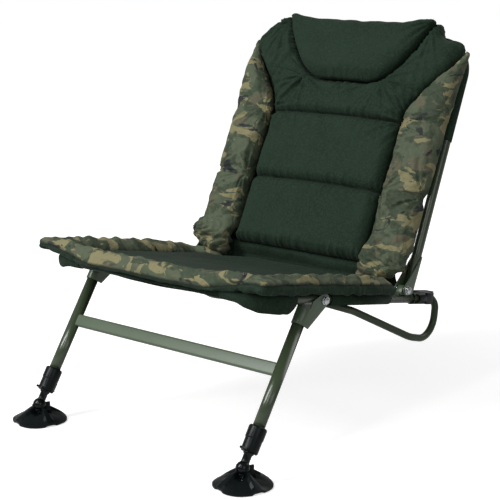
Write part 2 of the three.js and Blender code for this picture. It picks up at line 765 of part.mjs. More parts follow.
// Stud: a plug in the inner leg, a neck and the ball that the mud foot turns on
function ballStud() {
  const plug = INNER_LEG / 2 - INNER_LEG_WALL - GAP;
  const neck = STUD_NECK / 2;
  const r = BALL / 2;
  const start = Math.acos(neck / r);
  const arc = Array.from({ length: BEND_STEPS + 3 }, (_, i) => {
    const angle = start - ((start + Math.PI / 2) * i) / (BEND_STEPS + 2);
    return [Math.max(r * Math.cos(angle), 0), -BALL_DROP + r * Math.sin(angle)];
  });
  return turned([
    [0, -COLLAR_END + STUD_PLUG_LENGTH],
    [plug, -COLLAR_END + STUD_PLUG_LENGTH],
    [plug, -COLLAR_END - GAP],
    [INNER_LEG / 2, -COLLAR_END - GAP],
    [INNER_LEG / 2, -COLLAR_END - GAP - COLLAR_EDGE],
    [neck, -COLLAR_END - GAP - COLLAR_LIP],
    ...arc.slice(0, -1),
    [0, -BALL_DROP - r],
  ]);
}

for (const [name, side] of SIDES) {
  const axis = new THREE.Group();
  axis.position.set(side * HALF_SPACING, -LEG_OFFSET, 0);
  legs.add(axis);
  add(axis, `leg_collar_${name}`, collar(), BLACK_PLASTIC);
  add(axis, `lock_lever_${name}`, lockLever(), BLACK_PLASTIC);
  const pin = barX(LEVER_PIN / 2, -LEVER_WIDE / 2 - LEVER_PIN, LEVER_WIDE / 2 + LEVER_PIN, BAR_SIDES)
    .translate(0, LEVER_REACH - LEVER_THICK, -LEVER_PIN_DROP);
  add(axis, `lever_pin_${name}`, pin, ZINC);
  const inner = straight(
    annulus(INNER_LEG / 2, INNER_LEG / 2 - INNER_LEG_WALL, ROUND_SIDES),
    at(0, 0, -COLLAR_END),
    at(0, 0, -INNER_LEG_TOP),
  );
  add(axis, `inner_leg_${name}`, inner, STEEL_GREEN);
  add(axis, `ball_stud_${name}`, ballStud(), BLACK_PLASTIC);
}

// Mud foot: a fluted dome with four lobes, a socket that snaps over the ball and an open underside
function mudFoot() {
  const radius = FOOT / 2;
  const fall = FOOT_TOP - FOOT_RIM;
  const above = FOOT_PROFILE_SHARES.map((share, i) => [share * radius, FOOT_TOP - fall * FOOT_FALL_SHARES[i]]);
  const below = above.map(([r, z]) => [r - FOOT_WALL / 2, z - FOOT_WALL]).reverse();
  const profile = [
    [0, FOOT_TOP],
    ...above,
    [radius, FOOT_RIM],
    [radius, 0],
    [radius - FOOT_WALL, 0],
    ...below,
    [0, FOOT_TOP - FOOT_WALL],
  ];
  const dome = closed(turned(profile, FOOT_SEGMENTS));
  const p = dome.attributes.position;
  for (let i = 0; i < p.count; i += 1) {
    const x = p.getX(i);
    const y = p.getY(i);
    const z = p.getZ(i);
    const share = Math.hypot(x, y) / radius;
    const wave = (1 - Math.cos(FOOT_LOBES * Math.atan2(y, x))) / 2;
    const trough = wave ** 2 * Math.sin(Math.PI * Math.min(share, 1)) * FOOT_FLUTE;
    const arch = Math.max(wave - FOOT_FLAT_SHARE, 0) * share ** 4 * FOOT_ARCH;
    p.setZ(i, z + arch - (z > 0 ? trough : 0));
  }
  const ball = new THREE.SphereGeometry(SOCKET / 2, ROUND_SIDES, ROUND_SIDES / 2)
    .translate(0, 0, BALL_HEIGHT);
  const seatBall = new THREE.SphereGeometry(BALL / 2 + GAP + RUN, ROUND_SIDES, ROUND_SIDES / 2)
    .rotateX(Math.PI / 2 - SEAT_SLOPE - LEG_SPLAY)
    .translate(0, 0, BALL_HEIGHT);
  const mouth = new THREE.ConeGeometry(OVERRUN * Math.tan(SOCKET_MOUTH), OVERRUN, ROUND_SIDES)
    .rotateX(-Math.PI / 2)
    .translate(0, 0, OVERRUN / 2)
    .rotateX(-SEAT_SLOPE - LEG_SPLAY)
    .translate(0, 0, BALL_HEIGHT);
  return cut(join(dome, ball), seatBall, mouth);
}

// Backrest: a bent tube in two folded brackets that bear on the rails behind their bolts
function backFrame() {
  const top = HALF_SPACING - BACK_TAPER;
  const half = (sign) => [
    at(sign * HALF_SPACING, 0, BACK_START),
    at(sign * HALF_SPACING, 0, BACK_STRAIGHT),
    at(sign * top, 0, BACK_TOP),
  ];
  const corners = [...half(1), ...half(-1).reverse()];
  const bends = [BACK_STRAIGHT * 2, BACK_CORNER, BACK_CORNER, BACK_STRAIGHT * 2];
  return new BentPath(corners, bends);
}
add(back, 'back_frame', sweep(annulus(TUBE_R, TUBE_R - TUBE_WALL, TUBE_SIDES), backFrame()), STEEL_GREEN)
  .position.set(0, BACK_OFFSET, 0);

function backBracket() {
  const rear = BACK_OFFSET + BACK_OUTER;
  const seatDrop = BACK_PIVOT_RISE - TUBE_R - GAP;
  const bottom = (rear * Math.sin(BACK_LEAN) - seatDrop) / Math.cos(BACK_LEAN);
  const outline = [
    ...arcPoints(0, 0, BACK_EAR, Math.PI - Math.PI / 8, 3 * Math.PI / 2),
    new THREE.Vector2(rear - SHEET / 2, bottom),
    new THREE.Vector2(rear - SHEET / 2, BRACKET_HEIGHT),
    new THREE.Vector2(BRACKET_NOSE, BRACKET_HEIGHT),
  ];
  const cheeks = [-BACK_OUTER, BACK_INNER].map((x) => plate(outline, x, x + SHEET));
  const u = new THREE.Shape([
    new THREE.Vector2(-BACK_OUTER, 0),
    new THREE.Vector2(-BACK_INNER, 0),
    ...arcPoints(0, 0, BACK_INNER, Math.PI, 0, 2 * BEND_STEPS),
    new THREE.Vector2(BACK_OUTER, 0),
    ...arcPoints(0, 0, BACK_OUTER, 0, Math.PI, 2 * BEND_STEPS),
  ]);
  const web = new THREE.ExtrudeGeometry(u, { depth: BRACKET_HEIGHT - bottom, bevelEnabled: false })
    .translate(0, BACK_OFFSET, bottom);
  const corner = cut(
    block(
      at(-BACK_OUTER - WELD, BACK_OFFSET, bottom - OVERRUN),
      at(BACK_OUTER + WELD, rear + OVERRUN, BRACKET_HEIGHT + OVERRUN),
    ),
    barZ(BACK_OUTER, bottom - 2 * OVERRUN, BRACKET_HEIGHT + 2 * OVERRUN).translate(0, BACK_OFFSET, 0),
  );
  const hole = barX(BOLT_HOLE, -OVERRUN, OVERRUN, BAR_SIDES);
  return cut(join(web, ...cheeks.map((cheek) => cut(cheek, corner))), hole);
}

for (const [name, side] of SIDES) {
  add(back, `back_bracket_${name}`, backBracket(), STEEL_LIGHT).position.set(side * HALF_SPACING, 0, 0);
}

// Sewn tunnels round the frame tubes
const tunnel = annulus(TUNNEL_OUTER, TUNNEL_INNER, TUBE_SIDES);

for (const [name, side] of SIDES) {
  const x = side * HALF_SPACING;
  const rear = straight(tunnel, at(x, RAIL_TUNNEL_END, 0), at(x, RAIL_TUNNEL_START, 0));
  add(seat, `rail_tunnel_${name}`, rear, GREEN_CLOTH);
}
const FRONT_TUNNEL_HALF = HALF_SPACING - POCKET_FRONT - GAP;
add(seat, 'front_tunnel', straight(
  tunnel,
  at(FRONT_TUNNEL_HALF, -RAIL_FRONT, 0),
  at(-FRONT_TUNNEL_HALF, -RAIL_FRONT, 0),
), GREEN_CLOTH);

// Front corner pocket: a tunnel round the frame's bend that hangs in a slack fold below it
function cornerPocket() {
  const path = new BentPath([
    at(HALF_SPACING, -POCKET_START, 0),
    at(HALF_SPACING, -RAIL_FRONT, 0),
    at(HALF_SPACING - POCKET_FRONT, -RAIL_FRONT, 0),
  ], [FRAME_CORNER]);
  const down = Math.sign(path.computeFrenetFrames(path.steps, false).normals[0].z);
  const alongNormal = down !== 0;
  const outline = ring(TUNNEL_OUTER, TUBE_SIDES).map((p) => {
    const height = alongNormal ? p.x * down : p.y;
    const sag = height < 0 ? POCKET_SAG / TUNNEL_OUTER : 1;
    return alongNormal ? new THREE.Vector2(p.x * sag, p.y) : new THREE.Vector2(p.x, p.y * sag);
  });
  const shape = new THREE.Shape(outline);
  shape.holes.push(new THREE.Path(ring(TUNNEL_INNER, TUBE_SIDES).reverse()));
  return sweep(shape, path);
}

for (const [name, side] of SIDES) {
  const geometry = cornerPocket();
  if (side < 0) geometry.scale(-1, 1, 1);
  add(seat, `corner_pocket_${name}`, geometry, CAMO_CLOTH);
}

function backTunnel() {
  const top = HALF_SPACING - BACK_TAPER;
  const share = (BACK_TUNNEL_START - BACK_STRAIGHT) / (BACK_TOP - BACK_STRAIGHT);
  const start = HALF_SPACING - BACK_TAPER * share;
  const path = new BentPath([
    at(start, 0, BACK_TUNNEL_START),
    at(top, 0, BACK_TOP),
    at(-top, 0, BACK_TOP),
    at(-start, 0, BACK_TUNNEL_START),
  ], [BACK_CORNER, BACK_CORNER]);
  return sweep(tunnel, path);
}
add(back, 'back_tunnel', backTunnel(), GREEN_CLOTH).position.set(0, BACK_OFFSET, 0);

// Slings: the seat sling sags between the rails, the back sling lies flat across the frame
const slingHeight = (x) => SLING_EDGE - SLING_SAG * (1 - (x / (HALF_SPACING - TUNNEL_OUTER)) ** 2);

// The sling is cut out beside the bare part of each rail, where the bolts and brackets are
function seatSling() {
  const bend = -RAIL_FRONT + FRAME_CORNER;
  const inner = FRAME_CORNER * CHORD_SHARE - TUNNEL_OUTER - RUN;
  const front = bend - inner * CHORD_SHARE;
  const along = [
    ...spread(front, bend, BEND_STEPS),
    SLING_NOTCH_START,
    SLING_NOTCH_START + SLING_NOTCH_SLOPE,
    SLING_NOTCH_END - SLING_NOTCH_SLOPE,
    SLING_NOTCH_END,
    SLING_REAR,
  ];
  const half = (y) => {
    const full = HALF_SPACING - TUNNEL_OUTER - RUN;
    if (y < bend) return HALF_SPACING - FRAME_CORNER + Math.sqrt(inner ** 2 - (bend - y) ** 2);
    return y > SLING_NOTCH_START && y < SLING_NOTCH_END ? full - SLING_NOTCH_DEEP : full;
  };
  return quilt(spread(-1, 1, SEAT_STEPS_ACROSS / 2), along, (share, y, face) => {
    const x = share * half(y);
    return at(x, y, slingHeight(x) - face * SLING);
  });
}
add(seat, 'seat_sling', seatSling(), GREEN_CLOTH);

function backSling() {
  const half = HALF_SPACING - BACK_TAPER;
  const corner = BACK_CORNER / 2;
  const low = HALF_SPACING - BACK_OUTER - RUN;
  const step = BRACKET_HEIGHT + RUN;
  const outline = new THREE.Shape([
    new THREE.Vector2(-low, BACK_CLOTH_START),
    new THREE.Vector2(low, BACK_CLOTH_START),
    new THREE.Vector2(low, step),
    new THREE.Vector2(half, step),
    new THREE.Vector2(half, BACK_TOP - corner),
    new THREE.Vector2(half - corner, BACK_TOP),
    new THREE.Vector2(-half + corner, BACK_TOP),
    new THREE.Vector2(-half, BACK_TOP - corner),
    new THREE.Vector2(-half, step),
    new THREE.Vector2(-low, step),
  ]);
  return new THREE.ExtrudeGeometry(outline, { depth: SLING, bevelEnabled: false })
    .rotateX(Math.PI / 2)
    .translate(0, BACK_FACE, 0);
}
add(back, 'back_sling', backSling(), GREEN_CLOTH);

// Seat cushion: a raised border round a dished middle, with a front lip that hangs over the tube
function seatHalfWidth(y) {
  const neck = blend(y, SEAT_NECK_START, SEAT_NECK_END);
  const rounding = Math.max(0, SEAT_CORNER - (y + SEAT_FRONT)) / SEAT_CORNER;
  const corner = SEAT_CORNER * (1 - Math.sqrt(1 - rounding ** 2));
  return mix(SEAT_WIDTH / 2, HALF_SPACING - SEAT_NECK_INSET, neck) - corner;
}

function seatTop(x, y) {
  const side = seatHalfWidth(y) - Math.abs(x);
  const front = y + SEAT_FRONT;
  const border = Math.min(side / SEAT_SIDE_BORDER, front / SEAT_FRONT_BORDER);
  const beyond = Math.min(side - SEAT_SIDE_BORDER, front - SEAT_FRONT_BORDER);
  const outward = blend(Math.abs(x), SEAT_WIDTH / 5, SEAT_WIDTH / 2);
  const frontRim = mix(SEAT_FRONT_RIM, SEAT_RIM, outward);
  const sideRim = mix(SEAT_RIM, SEAT_REAR_RIM, blend(y, 0, SEAT_REAR));
  const rim = mix(frontRim, sideRim, blend(front, SEAT_FRONT_BORDER, 2 * SEAT_FRONT_BORDER));
  const rear = blend(y, SEAT_REAR - SEAT_DISH_REACH, SEAT_REAR - SEAT_EDGE_SOFT);
  const dish = mix(SEAT_DISH, SEAT_REAR_RIM, rear);
  const middle = mix(SEAT_SEAM, dish, blend(beyond, 0, SEAT_DISH_REACH));
  return mix(rim, middle, blend(border, SEAT_ROLL_SHARE, 1));
}

function seatCushion() {
  const tubeFront = -RAIL_FRONT - TUNNEL_OUTER - RUN;
  const along = [
    ...spread(-SEAT_FRONT, tubeFront, 3),
    tubeFront + RUN,
    ...crowded(tubeFront + 2 * SEAT_LIP_RISE, SEAT_REAR, SEAT_STEPS_ACROSS / 2),
  ];
  const across = crowded(-1, 1, SEAT_STEPS_ACROSS);
  return quilt(across, along, (share, y, face) => {
    const half = seatHalfWidth(y);
    const x = share * half;
    const side = half - Math.abs(x);
    const overRail = 1 - blend(HALF_SPACING - Math.abs(x), SEAT_RAIL_ROOM, 2 * SEAT_RAIL_ROOM);
    const inFront = y <= tubeFront ? 1 : 0;
    const nearFront = 1 - blend(y + RAIL_FRONT, SEAT_RAIL_ROOM, 2 * SEAT_RAIL_ROOM);
    const lip = mix(-SEAT_LIP_DROP, SEAT_LIP_DROP, blend(Math.abs(x), SEAT_WIDTH / 4, SEAT_WIDTH / 2));
    const under = mix(
      mix(slingHeight(x) + GAP, SEAT_UNDERSIDE, Math.max(overRail, nearFront)),
      lip,
      inFront,
    );
    if (face === 1) return at(x, y, under);
    const soft = fullness(side, SEAT_EDGE_SOFT) * fullness(y + SEAT_FRONT, SEAT_EDGE_SOFT);
    const rearSoft = fullness(SEAT_REAR - y, SEAT_EDGE_SOFT);
    const crown = Math.max(seatTop(x, y), under + PAD_EDGE);
    const foot = SEAT_UNDERSIDE + PAD_EDGE / 2;
    return at(x, y, mix(foot, crown, soft * mix(1, rearSoft, 1 / 2)));
  });
}
add(seat, 'seat_cushion', seatCushion(), CAMO_CLOTH);

// Headrest pillow: narrow below, widest near the top, and full in the middle
function pillowHalfWidth(z) {
  const shares = PILLOW_SIDE_SHARES;
  const step = ((z - PILLOW_BOTTOM) / (PILLOW_TOP - PILLOW_BOTTOM)) * (shares.length - 1);
  const i = THREE.MathUtils.clamp(Math.floor(step), 0, shares.length - 2);
  const share = mix(shares[i], shares[i + 1], THREE.MathUtils.clamp(step - i, 0, 1));
  return mix(PILLOW_BASE_WIDTH, PILLOW_WIDTH, share) / 2;
}

function pillow(grow) {
  const soft = PILLOW_THICK;
  return quilt(
    crowded(-1, 1, SEAT_STEPS_ACROSS / 2),
    crowded(PILLOW_BOTTOM - grow, PILLOW_TOP + grow, SEAT_STEPS_ACROSS / 2),
    (share, z, face) => {
      const half = pillowHalfWidth(z) + grow;
      if (face === 1) return at(share * half, PAD_BACK, z);
      const low = z - PILLOW_BOTTOM + grow;
      const edge = Math.min(half * (1 - Math.abs(share)), low, PILLOW_TOP + grow - z);
      const full = fullness(Math.max(edge, 0), soft);
      return at(share * half, PAD_BACK - mix(PAD_EDGE, PILLOW_THICK, full) - grow, z);
    },
  );
}
add(back, 'headrest_pillow', pillow(0), GREEN_CLOTH);

// Back pad: three channels in the middle and thin shoulders that run up beside the pillow
function padHalfWidth(z) {
  const rounding = THREE.MathUtils.clamp((z - PAD_TOP + PAD_CORNER) / PAD_CORNER, 0, 1);
  const corner = PAD_CORNER * (1 - Math.sqrt(1 - rounding ** 2));
  return mix(PAD_WAIST, PAD_SHOULDER, blend(z, SHOULDER_START, SHOULDER_END)) / 2 - corner;
}

function channelDip(z) {
  const near = Math.min(Math.abs(z - CHANNEL_LOW), Math.abs(z - CHANNEL_HIGH));
  return CHANNEL_DEPTH * (1 - fullness(near, CHANNEL_WIDE));
}

const channelRows = (start) => [
  ...crowded(start, CHANNEL_LOW, PAD_STEPS).slice(0, -1),
  ...crowded(CHANNEL_LOW, CHANNEL_HIGH, PAD_STEPS).slice(0, -1),
  ...crowded(CHANNEL_HIGH, BOLSTER_TOP, PAD_STEPS),
];

function backPad() {
  const along = [...channelRows(PAD_START), ...crowded(BOLSTER_TOP, PAD_TOP, BEND_STEPS).slice(1)];
  const across = crowded(-1, 1, SEAT_STEPS_ACROSS - 2 * BEND_STEPS);
  const body = quilt(across, along, (share, z, face) => {
    const half = padHalfWidth(z) - GAP;
    const x = share * half;
    const corner = 1 - blend(Math.abs(x), PAD_LIFT_END, PAD_LIFT_START);
    const height = z + PAD_LIFT * corner * blend(z, BOLSTER_TOP, PAD_TOP);
    if (face === 1) return at(x, PAD_BACK, height);
    const thick = mix(PAD_THICK, SHOULDER_THICK, blend(z, CHANNEL_HIGH, PAD_NECK));
    const edge = Math.min(half * (1 - Math.abs(share)), z - PAD_START, PAD_TOP - z);
    const full = fullness(edge, PAD_THICK) * (1 - channelDip(z) / PAD_THICK);
    return at(x, PAD_BACK - mix(PAD_EDGE, thick, full), height);
  });
  return cut(body, pillow(2 * GAP));
}
add(back, 'back_pad', backPad(), GREEN_CLOTH);

// Bolsters: one full roll down each side, pulled in at the levels of the channels
function bolster() {
  return quilt(crowded(0, 1, PAD_STEPS), channelRows(BOLSTER_START), (share, z, face) => {
    const inner = padHalfWidth(z) + GAP;
    const side = mix(BOLSTER_OUTER, BOLSTER_TOP_OUTER, blend(z, BACK_STRAIGHT, BOLSTER_TOP)) / 2;
    const width = Math.max(side - inner, PAD_EDGE);
    const x = inner + width * share;
    if (face === 1) return at(x, PAD_BACK, z);
    const thick = Math.min(BOLSTER_THICK, width / 2);
    const edge = Math.min(width * share, width * (1 - share), z - BOLSTER_START, BOLSTER_TOP - z);
    const dip = 1 - (channelDip(z) / PAD_THICK) / 2;
    return at(x, PAD_BACK - mix(PAD_EDGE / 2, thick, fullness(edge, thick) * dip), z);
  });
}

for (const [name, side] of SIDES) {
  const geometry = bolster();
  if (side < 0) geometry.scale(-1, 1, 1);
  add(back, `back_bolster_${name}`, geometry, CAMO_CLOTH);
}

// Gusset: the slack cloth between the seat and the back, behind the seat cushion
function gusset() {
  const lean = new THREE.Matrix4().makeRotationX(-BACK_LEAN).setPosition(0, BACK_PIVOT, BACK_PIVOT_RISE);
  const top = at(0, BACK_FACE - SLING, BACK_CLOTH_START - 2 * RUN).applyMatrix4(lean);
  const low = at(0, SEAT_REAR + PAD_EDGE, -GUSSET_DIP);
  const start = at(0, SEAT_REAR + RUN, SEAT_UNDERSIDE);
  const curve = new THREE.QuadraticBezierCurve3(start, low, top);
  return quilt(
    [-GUSSET_WIDTH / 2, GUSSET_WIDTH / 2],
    spread(0, 1, 2 * BEND_STEPS),
    (x, t, face) => {
      const p = curve.getPoint(t);
      const along = curve.getTangent(t);
      return at(x, p.y - face * SLING * along.z, p.z + face * SLING * along.y);
    },
  );
}
add(seat, 'hinge_gusset', gusset(), GREEN_CLOTH);

// The feet lie level on the ground under their balls, and the whole chair is stood on them
const ball = at(0, -LEG_OFFSET, -BALL_DROP)
  .applyAxisAngle(at(1, 0, 0), -LEG_SPLAY)
  .applyAxisAngle(at(1, 0, 0), -SEAT_SLOPE);
seat.position.z = BALL_HEIGHT - ball.z;

for (const [name, side] of SIDES) {
  add(chair, `mud_foot_${name}`, mudFoot(), BLACK_PLASTIC)
    .position.set(side * HALF_SPACING, ball.y, 0);
}

chair.updateMatrixWorld(true);
const extent = new THREE.Box3().setFromObject(chair, true);
chair.position.y = -(extent.min.y + extent.max.y) / 2;
chair.updateMatrixWorld(true);

export default chair;
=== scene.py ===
# Folding carp fishing chair: padded camouflage seat and backrest on a bent tube frame,
# telescopic front legs with mud feet and a bent rear bar. Sizes are in millimetres in the
# chair's own tilted frames and are placed in metres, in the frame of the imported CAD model.
import json
from functools import partial
from math import atan2, copysign, cos, exp, hypot, pi, radians, sin, sqrt, tan

import bmesh
import bpy
from bpy.props import FloatProperty, IntProperty, PointerProperty, StringProperty
from mathutils import Euler, Matrix, Vector, noise


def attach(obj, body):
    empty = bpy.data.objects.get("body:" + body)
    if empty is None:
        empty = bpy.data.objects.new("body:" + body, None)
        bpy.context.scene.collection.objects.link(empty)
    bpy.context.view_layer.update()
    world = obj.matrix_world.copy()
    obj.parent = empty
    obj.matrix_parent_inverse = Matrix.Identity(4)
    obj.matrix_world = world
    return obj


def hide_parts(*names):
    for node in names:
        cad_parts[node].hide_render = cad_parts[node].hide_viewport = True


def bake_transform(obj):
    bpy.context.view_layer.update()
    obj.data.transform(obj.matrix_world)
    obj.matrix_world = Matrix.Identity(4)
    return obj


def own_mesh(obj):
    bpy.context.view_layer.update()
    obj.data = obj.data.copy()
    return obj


bl_info = {
    "name": "Folding Fishing Chair",
    "version": (1, 0, 0),
    "blender": (4, 5, 0),
    "location": "View3D > Sidebar > Chair",
    "description": "Builds a padded folding fishing chair round its packed frame",
    "category": "Add Mesh",
}

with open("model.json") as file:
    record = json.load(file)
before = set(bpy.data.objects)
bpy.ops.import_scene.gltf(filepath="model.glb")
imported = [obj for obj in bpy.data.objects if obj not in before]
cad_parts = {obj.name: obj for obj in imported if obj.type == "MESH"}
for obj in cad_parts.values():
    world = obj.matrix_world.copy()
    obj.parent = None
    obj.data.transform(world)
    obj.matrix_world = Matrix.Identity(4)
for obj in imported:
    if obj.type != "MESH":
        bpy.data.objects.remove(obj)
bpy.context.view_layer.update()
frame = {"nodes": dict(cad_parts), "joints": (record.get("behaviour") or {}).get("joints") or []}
SIDES = (("left", 1), ("right", -1))
MM = 0.001
MERGE = 0.01
TUBE_WALL = 1.2
FILLING_FRAMES = 20

# Routes of the tubes, in millimetres in their own tilted frames
RAIL_FRONT = -163
RAIL_REAR = 352
RAIL_BEND = 55
BACK_SETBACK = 18
BACK_FOOT = 5
BACK_WAIST = 90
BACK_TOP = 505
BACK_TAPER = 8
BACK_BEND = 70
LEG_SETBACK = -29
LEG_FOOT = -268
LEG_HEAD = -28.3

# Bends so wide that a tube and a sleeve stay straight
LEG_BEND = 9000
SLEEVE_BEND = 4000

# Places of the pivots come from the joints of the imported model
JOINTS = {joint["name"]: joint for joint in frame["joints"]}
LEG_PIVOT = Vector(JOINTS["rear_bar_fold"]["pos_m"])
BACK_PIVOT = Vector(JOINTS["backrest_fold"]["pos_m"])
SEAT_SLOPE = radians(10.5)
LEG_SPLAY = radians(23.1)
BACK_LEAN = radians(14.5)


def tilted(origin, angle):
    """A frame tilted back about the chair's width, in millimetres."""
    turn = Matrix.Rotation(-angle, 4, "X")
    return Matrix.Translation(origin) @ turn @ Matrix.Scale(MM, 4)


SEAT = tilted(LEG_PIVOT, SEAT_SLOPE)
LEGS = tilted(LEG_PIVOT, SEAT_SLOPE + LEG_SPLAY)
BACK = tilted(BACK_PIVOT, SEAT_SLOPE + BACK_LEAN)
BACK_TUBE = BACK @ Matrix.Translation((0, BACK_SETBACK, 0))


class TubeSizes(bpy.types.PropertyGroup):
    spacing: FloatProperty(
        name="Rail spacing", description="Between the rails' axes", default=0.52, unit="LENGTH"
    )
    tube: FloatProperty(
        name="Frame tube", description="Outer diameter of the frame", default=0.019, unit="LENGTH"
    )
    leg: FloatProperty(
        name="Leg tube", description="Outer diameter of the leg tube", default=0.022, unit="LENGTH"
    )
    bar: FloatProperty(
        name="Rear bar", description="Outer diameter of the rear bar", default=0.014, unit="LENGTH"
    )
    wall: FloatProperty(name="Wall", description="Wall of the tubes", default=0.0012, unit="LENGTH")
    sides: IntProperty(name="Tube sides", description="Faces round a tube", default=32)


class SoftSizes(bpy.types.PropertyGroup):
    voxel: FloatProperty(
        name="Voxel", description="Remesh size of the padding", default=0.005, unit="LENGTH"
    )
    pressure: FloatProperty(
        name="Pressure", description="Filling pressure of the padding", default=4
    )
    swell: FloatProperty(
        name="Swell", description="Farthest that the filling pushes", default=0.004, unit="LENGTH"
    )
    rim: FloatProperty(
        name="Seat rim", description="Crest of the seat's border", default=0.038, unit="LENGTH"
    )


class Colours(bpy.types.PropertyGroup):
    tube: StringProperty(
        name="Tube paint", description="sRGB hex of the paint on the tubes", default="3F4B36"
    )
    # The bracket paint is lighter than the tube paint: painted light for the lamps' light on the
    # flat faces of the brackets and crossbar.
    sheet: StringProperty(
        name="Bracket paint", description="sRGB hex of the paint on sheet metal", default="52634C"
    )
    green: StringProperty(
        name="Bottle green", description="sRGB hex of the plain cloth", default="213125"
    )
    ground: StringProperty(
        name="Camouflage ground", description="sRGB hex of the ground", default="525C49"
    )
    moss: StringProperty(
        name="Camouflage moss", description="sRGB hex of the moss patches", default="3A4737"
    )
    khaki: StringProperty(
        name="Camouflage khaki", description="sRGB hex of the light patches", default="86815F"
    )
    earth: StringProperty(
        name="Camouflage earth", description="sRGB hex of the earth patches", default="5F5C4A"
    )
    ink: StringProperty(
        name="Camouflage ink", description="sRGB hex of the darkest patches", default="20262C"
    )


class ChairSettings(bpy.types.PropertyGroup):
    tubes: PointerProperty(type=TubeSizes, name="Tubes", description="Sizes of the tubes")
    soft: PointerProperty(type=SoftSizes, name="Padding", description="Sizes of the padding")
    colours: PointerProperty(type=Colours, name="Colours", description="Colours of the finishes")


# Numbers


def mix(a, b, t):
    return a + (b - a) * t


def clamp(x, low=0.0, high=1.0):
    return max(low, min(high, x))


def smooth(x, start, end):
    t = clamp((x - start) / (end - start))
    return t * t * (3 - 2 * t)


def fullness(distance, soft):
    """How full a cushion is at a distance from its edge."""
    share = 1 - clamp(distance / soft)
    return sqrt(max(0.0, 1 - share * share))


def bump_at(x, centre, width):
    return exp(-(((x - centre) / width) ** 2))


def rough(x, y, z, scale, seed=0.0):
    return noise.noise(Vector((x / scale + seed, y / scale - seed, z / scale + 2 * seed)))


# Materials


def linear(hex_code, shade=1.0):
    """Linear colour of an sRGB hex code, made darker or lighter by a shade."""
    values = [int(hex_code[i : i + 2], 16) / 255 for i in (0, 2, 4)]
    values = [v / 12.92 if v <= 0.04045 else ((v + 0.055) / 1.055) ** 2.4 for v in values]
    return [min(1.0, v * shade) for v in values] + [1.0]


def spread(place, distance, detail=2.0, **more):
    """Inputs of a texture on Object coordinates, its features this many millimetres apart."""
    return {"Vector": place, "Scale": 1 / (distance * MM), "Detail": detail, **more}


def add_node(tree, kind, inputs=(), output=0, **settings):
    """Adds a node with its settings, gives its inputs a value or a link, and returns an output."""
    made = tree.nodes.new(kind)
    for key, value in settings.items():
        setattr(made, key, value)
    for key, value in dict(inputs).items():
        if isinstance(value, bpy.types.NodeSocket):
            tree.links.new(value, made.inputs[key])
        else:
            made.inputs[key].default_value = value
    return made.outputs[output] if made.outputs else made


def new_material(name):
    """An empty material, the helper bound to its node tree, and Object coordinates in metres."""
    material = bpy.data.materials.new(name)
    material.use_nodes = True
    tree = material.node_tree
    tree.nodes.clear()
    return material, partial(add_node, tree), add_node(tree, "ShaderNodeTexCoord", output="Object")


def surface(node, inputs, bump=None, strength=0.3, depth=0.2):
    """Principled surface with a bump this many millimetres deep."""
    inputs = dict(inputs)
    if bump is not None:
        relief = {"Height": bump, "Strength": strength, "Distance": depth * MM}
        inputs["Normal"] = node("ShaderNodeBump", relief)
    shader = node("ShaderNodeBsdfPrincipled", inputs)
    node("ShaderNodeOutputMaterial", {"Surface": shader})


def clouded(node, cloud, dark, light, low, high):
    """Colour and roughness that vary together with a cloudy texture."""
    ends = {0: cloud, 6: dark, 7: light}
    tint = node("ShaderNodeMix", ends, 2, data_type="RGBA")
    span = {"Value": cloud, "To Min": low, "To Max": high}
    return {"Base Color": tint, "Roughness": node("ShaderNodeMapRange", span)}


def powder_coated_steel(name, colour, roughness, gleam=0.6):
    # Satin powder coat on mild steel: a sharp streak of light over a very fine orange peel
    material, node, place = new_material(name)
    cloud = node("ShaderNodeTexNoise", spread(place, 70, 3.0))
    peel = node("ShaderNodeTexNoise", spread(place, 1.2))
    dark, light = linear(colour, 0.85), linear(colour, 1.1)
    values = clouded(node, cloud, dark, light, roughness - 0.04, roughness + 0.05)
    surface(node, values | {"Specular IOR Level": gleam}, peel, 0.1)
    return material


def zinc_plated_steel():
    # Bright zinc plate on bolts: a cold mirror, slightly clouded by the plating bath
    material, node, place = new_material("zinc_plated_steel")
    cloud = node("ShaderNodeTexNoise", spread(place, 6, 3.0))
    values = clouded(node, cloud, linear("DADCDD"), linear("A9ADB1"), 0.14, 0.32)
    surface(node, values | {"Metallic": 1.0}, cloud, 0.1)
    return material


def moulded_nylon():
    # Black glass-filled nylon from a spark-eroded mould: satin black, glossier where it is handled
    material, node, place = new_material("moulded_black_nylon")
    cloud = node("ShaderNodeTexNoise", spread(place, 16))
    grain = node("ShaderNodeTexNoise", spread(place, 0.9))
    values = clouded(node, cloud, linear("0B1011"), linear("13191A"), 0.22, 0.4)
    surface(node, values | {"Specular IOR Level": 0.16}, grain, 0.25)
    return material


def polished_acetal():
    # Polished black acetal of the ball stud: nearly wet, because it has to turn freely
    material, node, place = new_material("polished_black_acetal")
    cloud = node("ShaderNodeTexNoise", spread(place, 11))
    gloss = node("ShaderNodeMapRange", {"Value": cloud, "To Min": 0.1, "To Max": 0.2})
    values = {"Base Color": linear("0B0F10"), "Roughness": gloss, "Specular IOR Level": 0.25}
    surface(node, values)
    return material


def plain_colour(node, place, colour):
    """Nap brushed lighter and darker in broad strokes, with a fine fleck of the threads."""
    stroke = node("ShaderNodeTexNoise", spread(place, 80, 4.0, Roughness=0.6))
    fleck = node("ShaderNodeTexNoise", spread(place, 3.5))
    span = {"Value": stroke, "From Min": 0.3, "From Max": 0.7}
    brushed = node("ShaderNodeMapRange", span)
    span = {"Value": fleck, "From Min": 0.45, "From Max": 0.75}
    threads = node("ShaderNodeMapRange", span)
    ends = {0: brushed, 6: linear(colour, 0.78), 7: linear(colour, 1.06)}
    nap = node("ShaderNodeMix", ends, 2, data_type="RGBA")
    ends = {0: threads, 6: nap, 7: linear(colour, 1.5)}
    return node("ShaderNodeMix", ends, 2, data_type="RGBA")


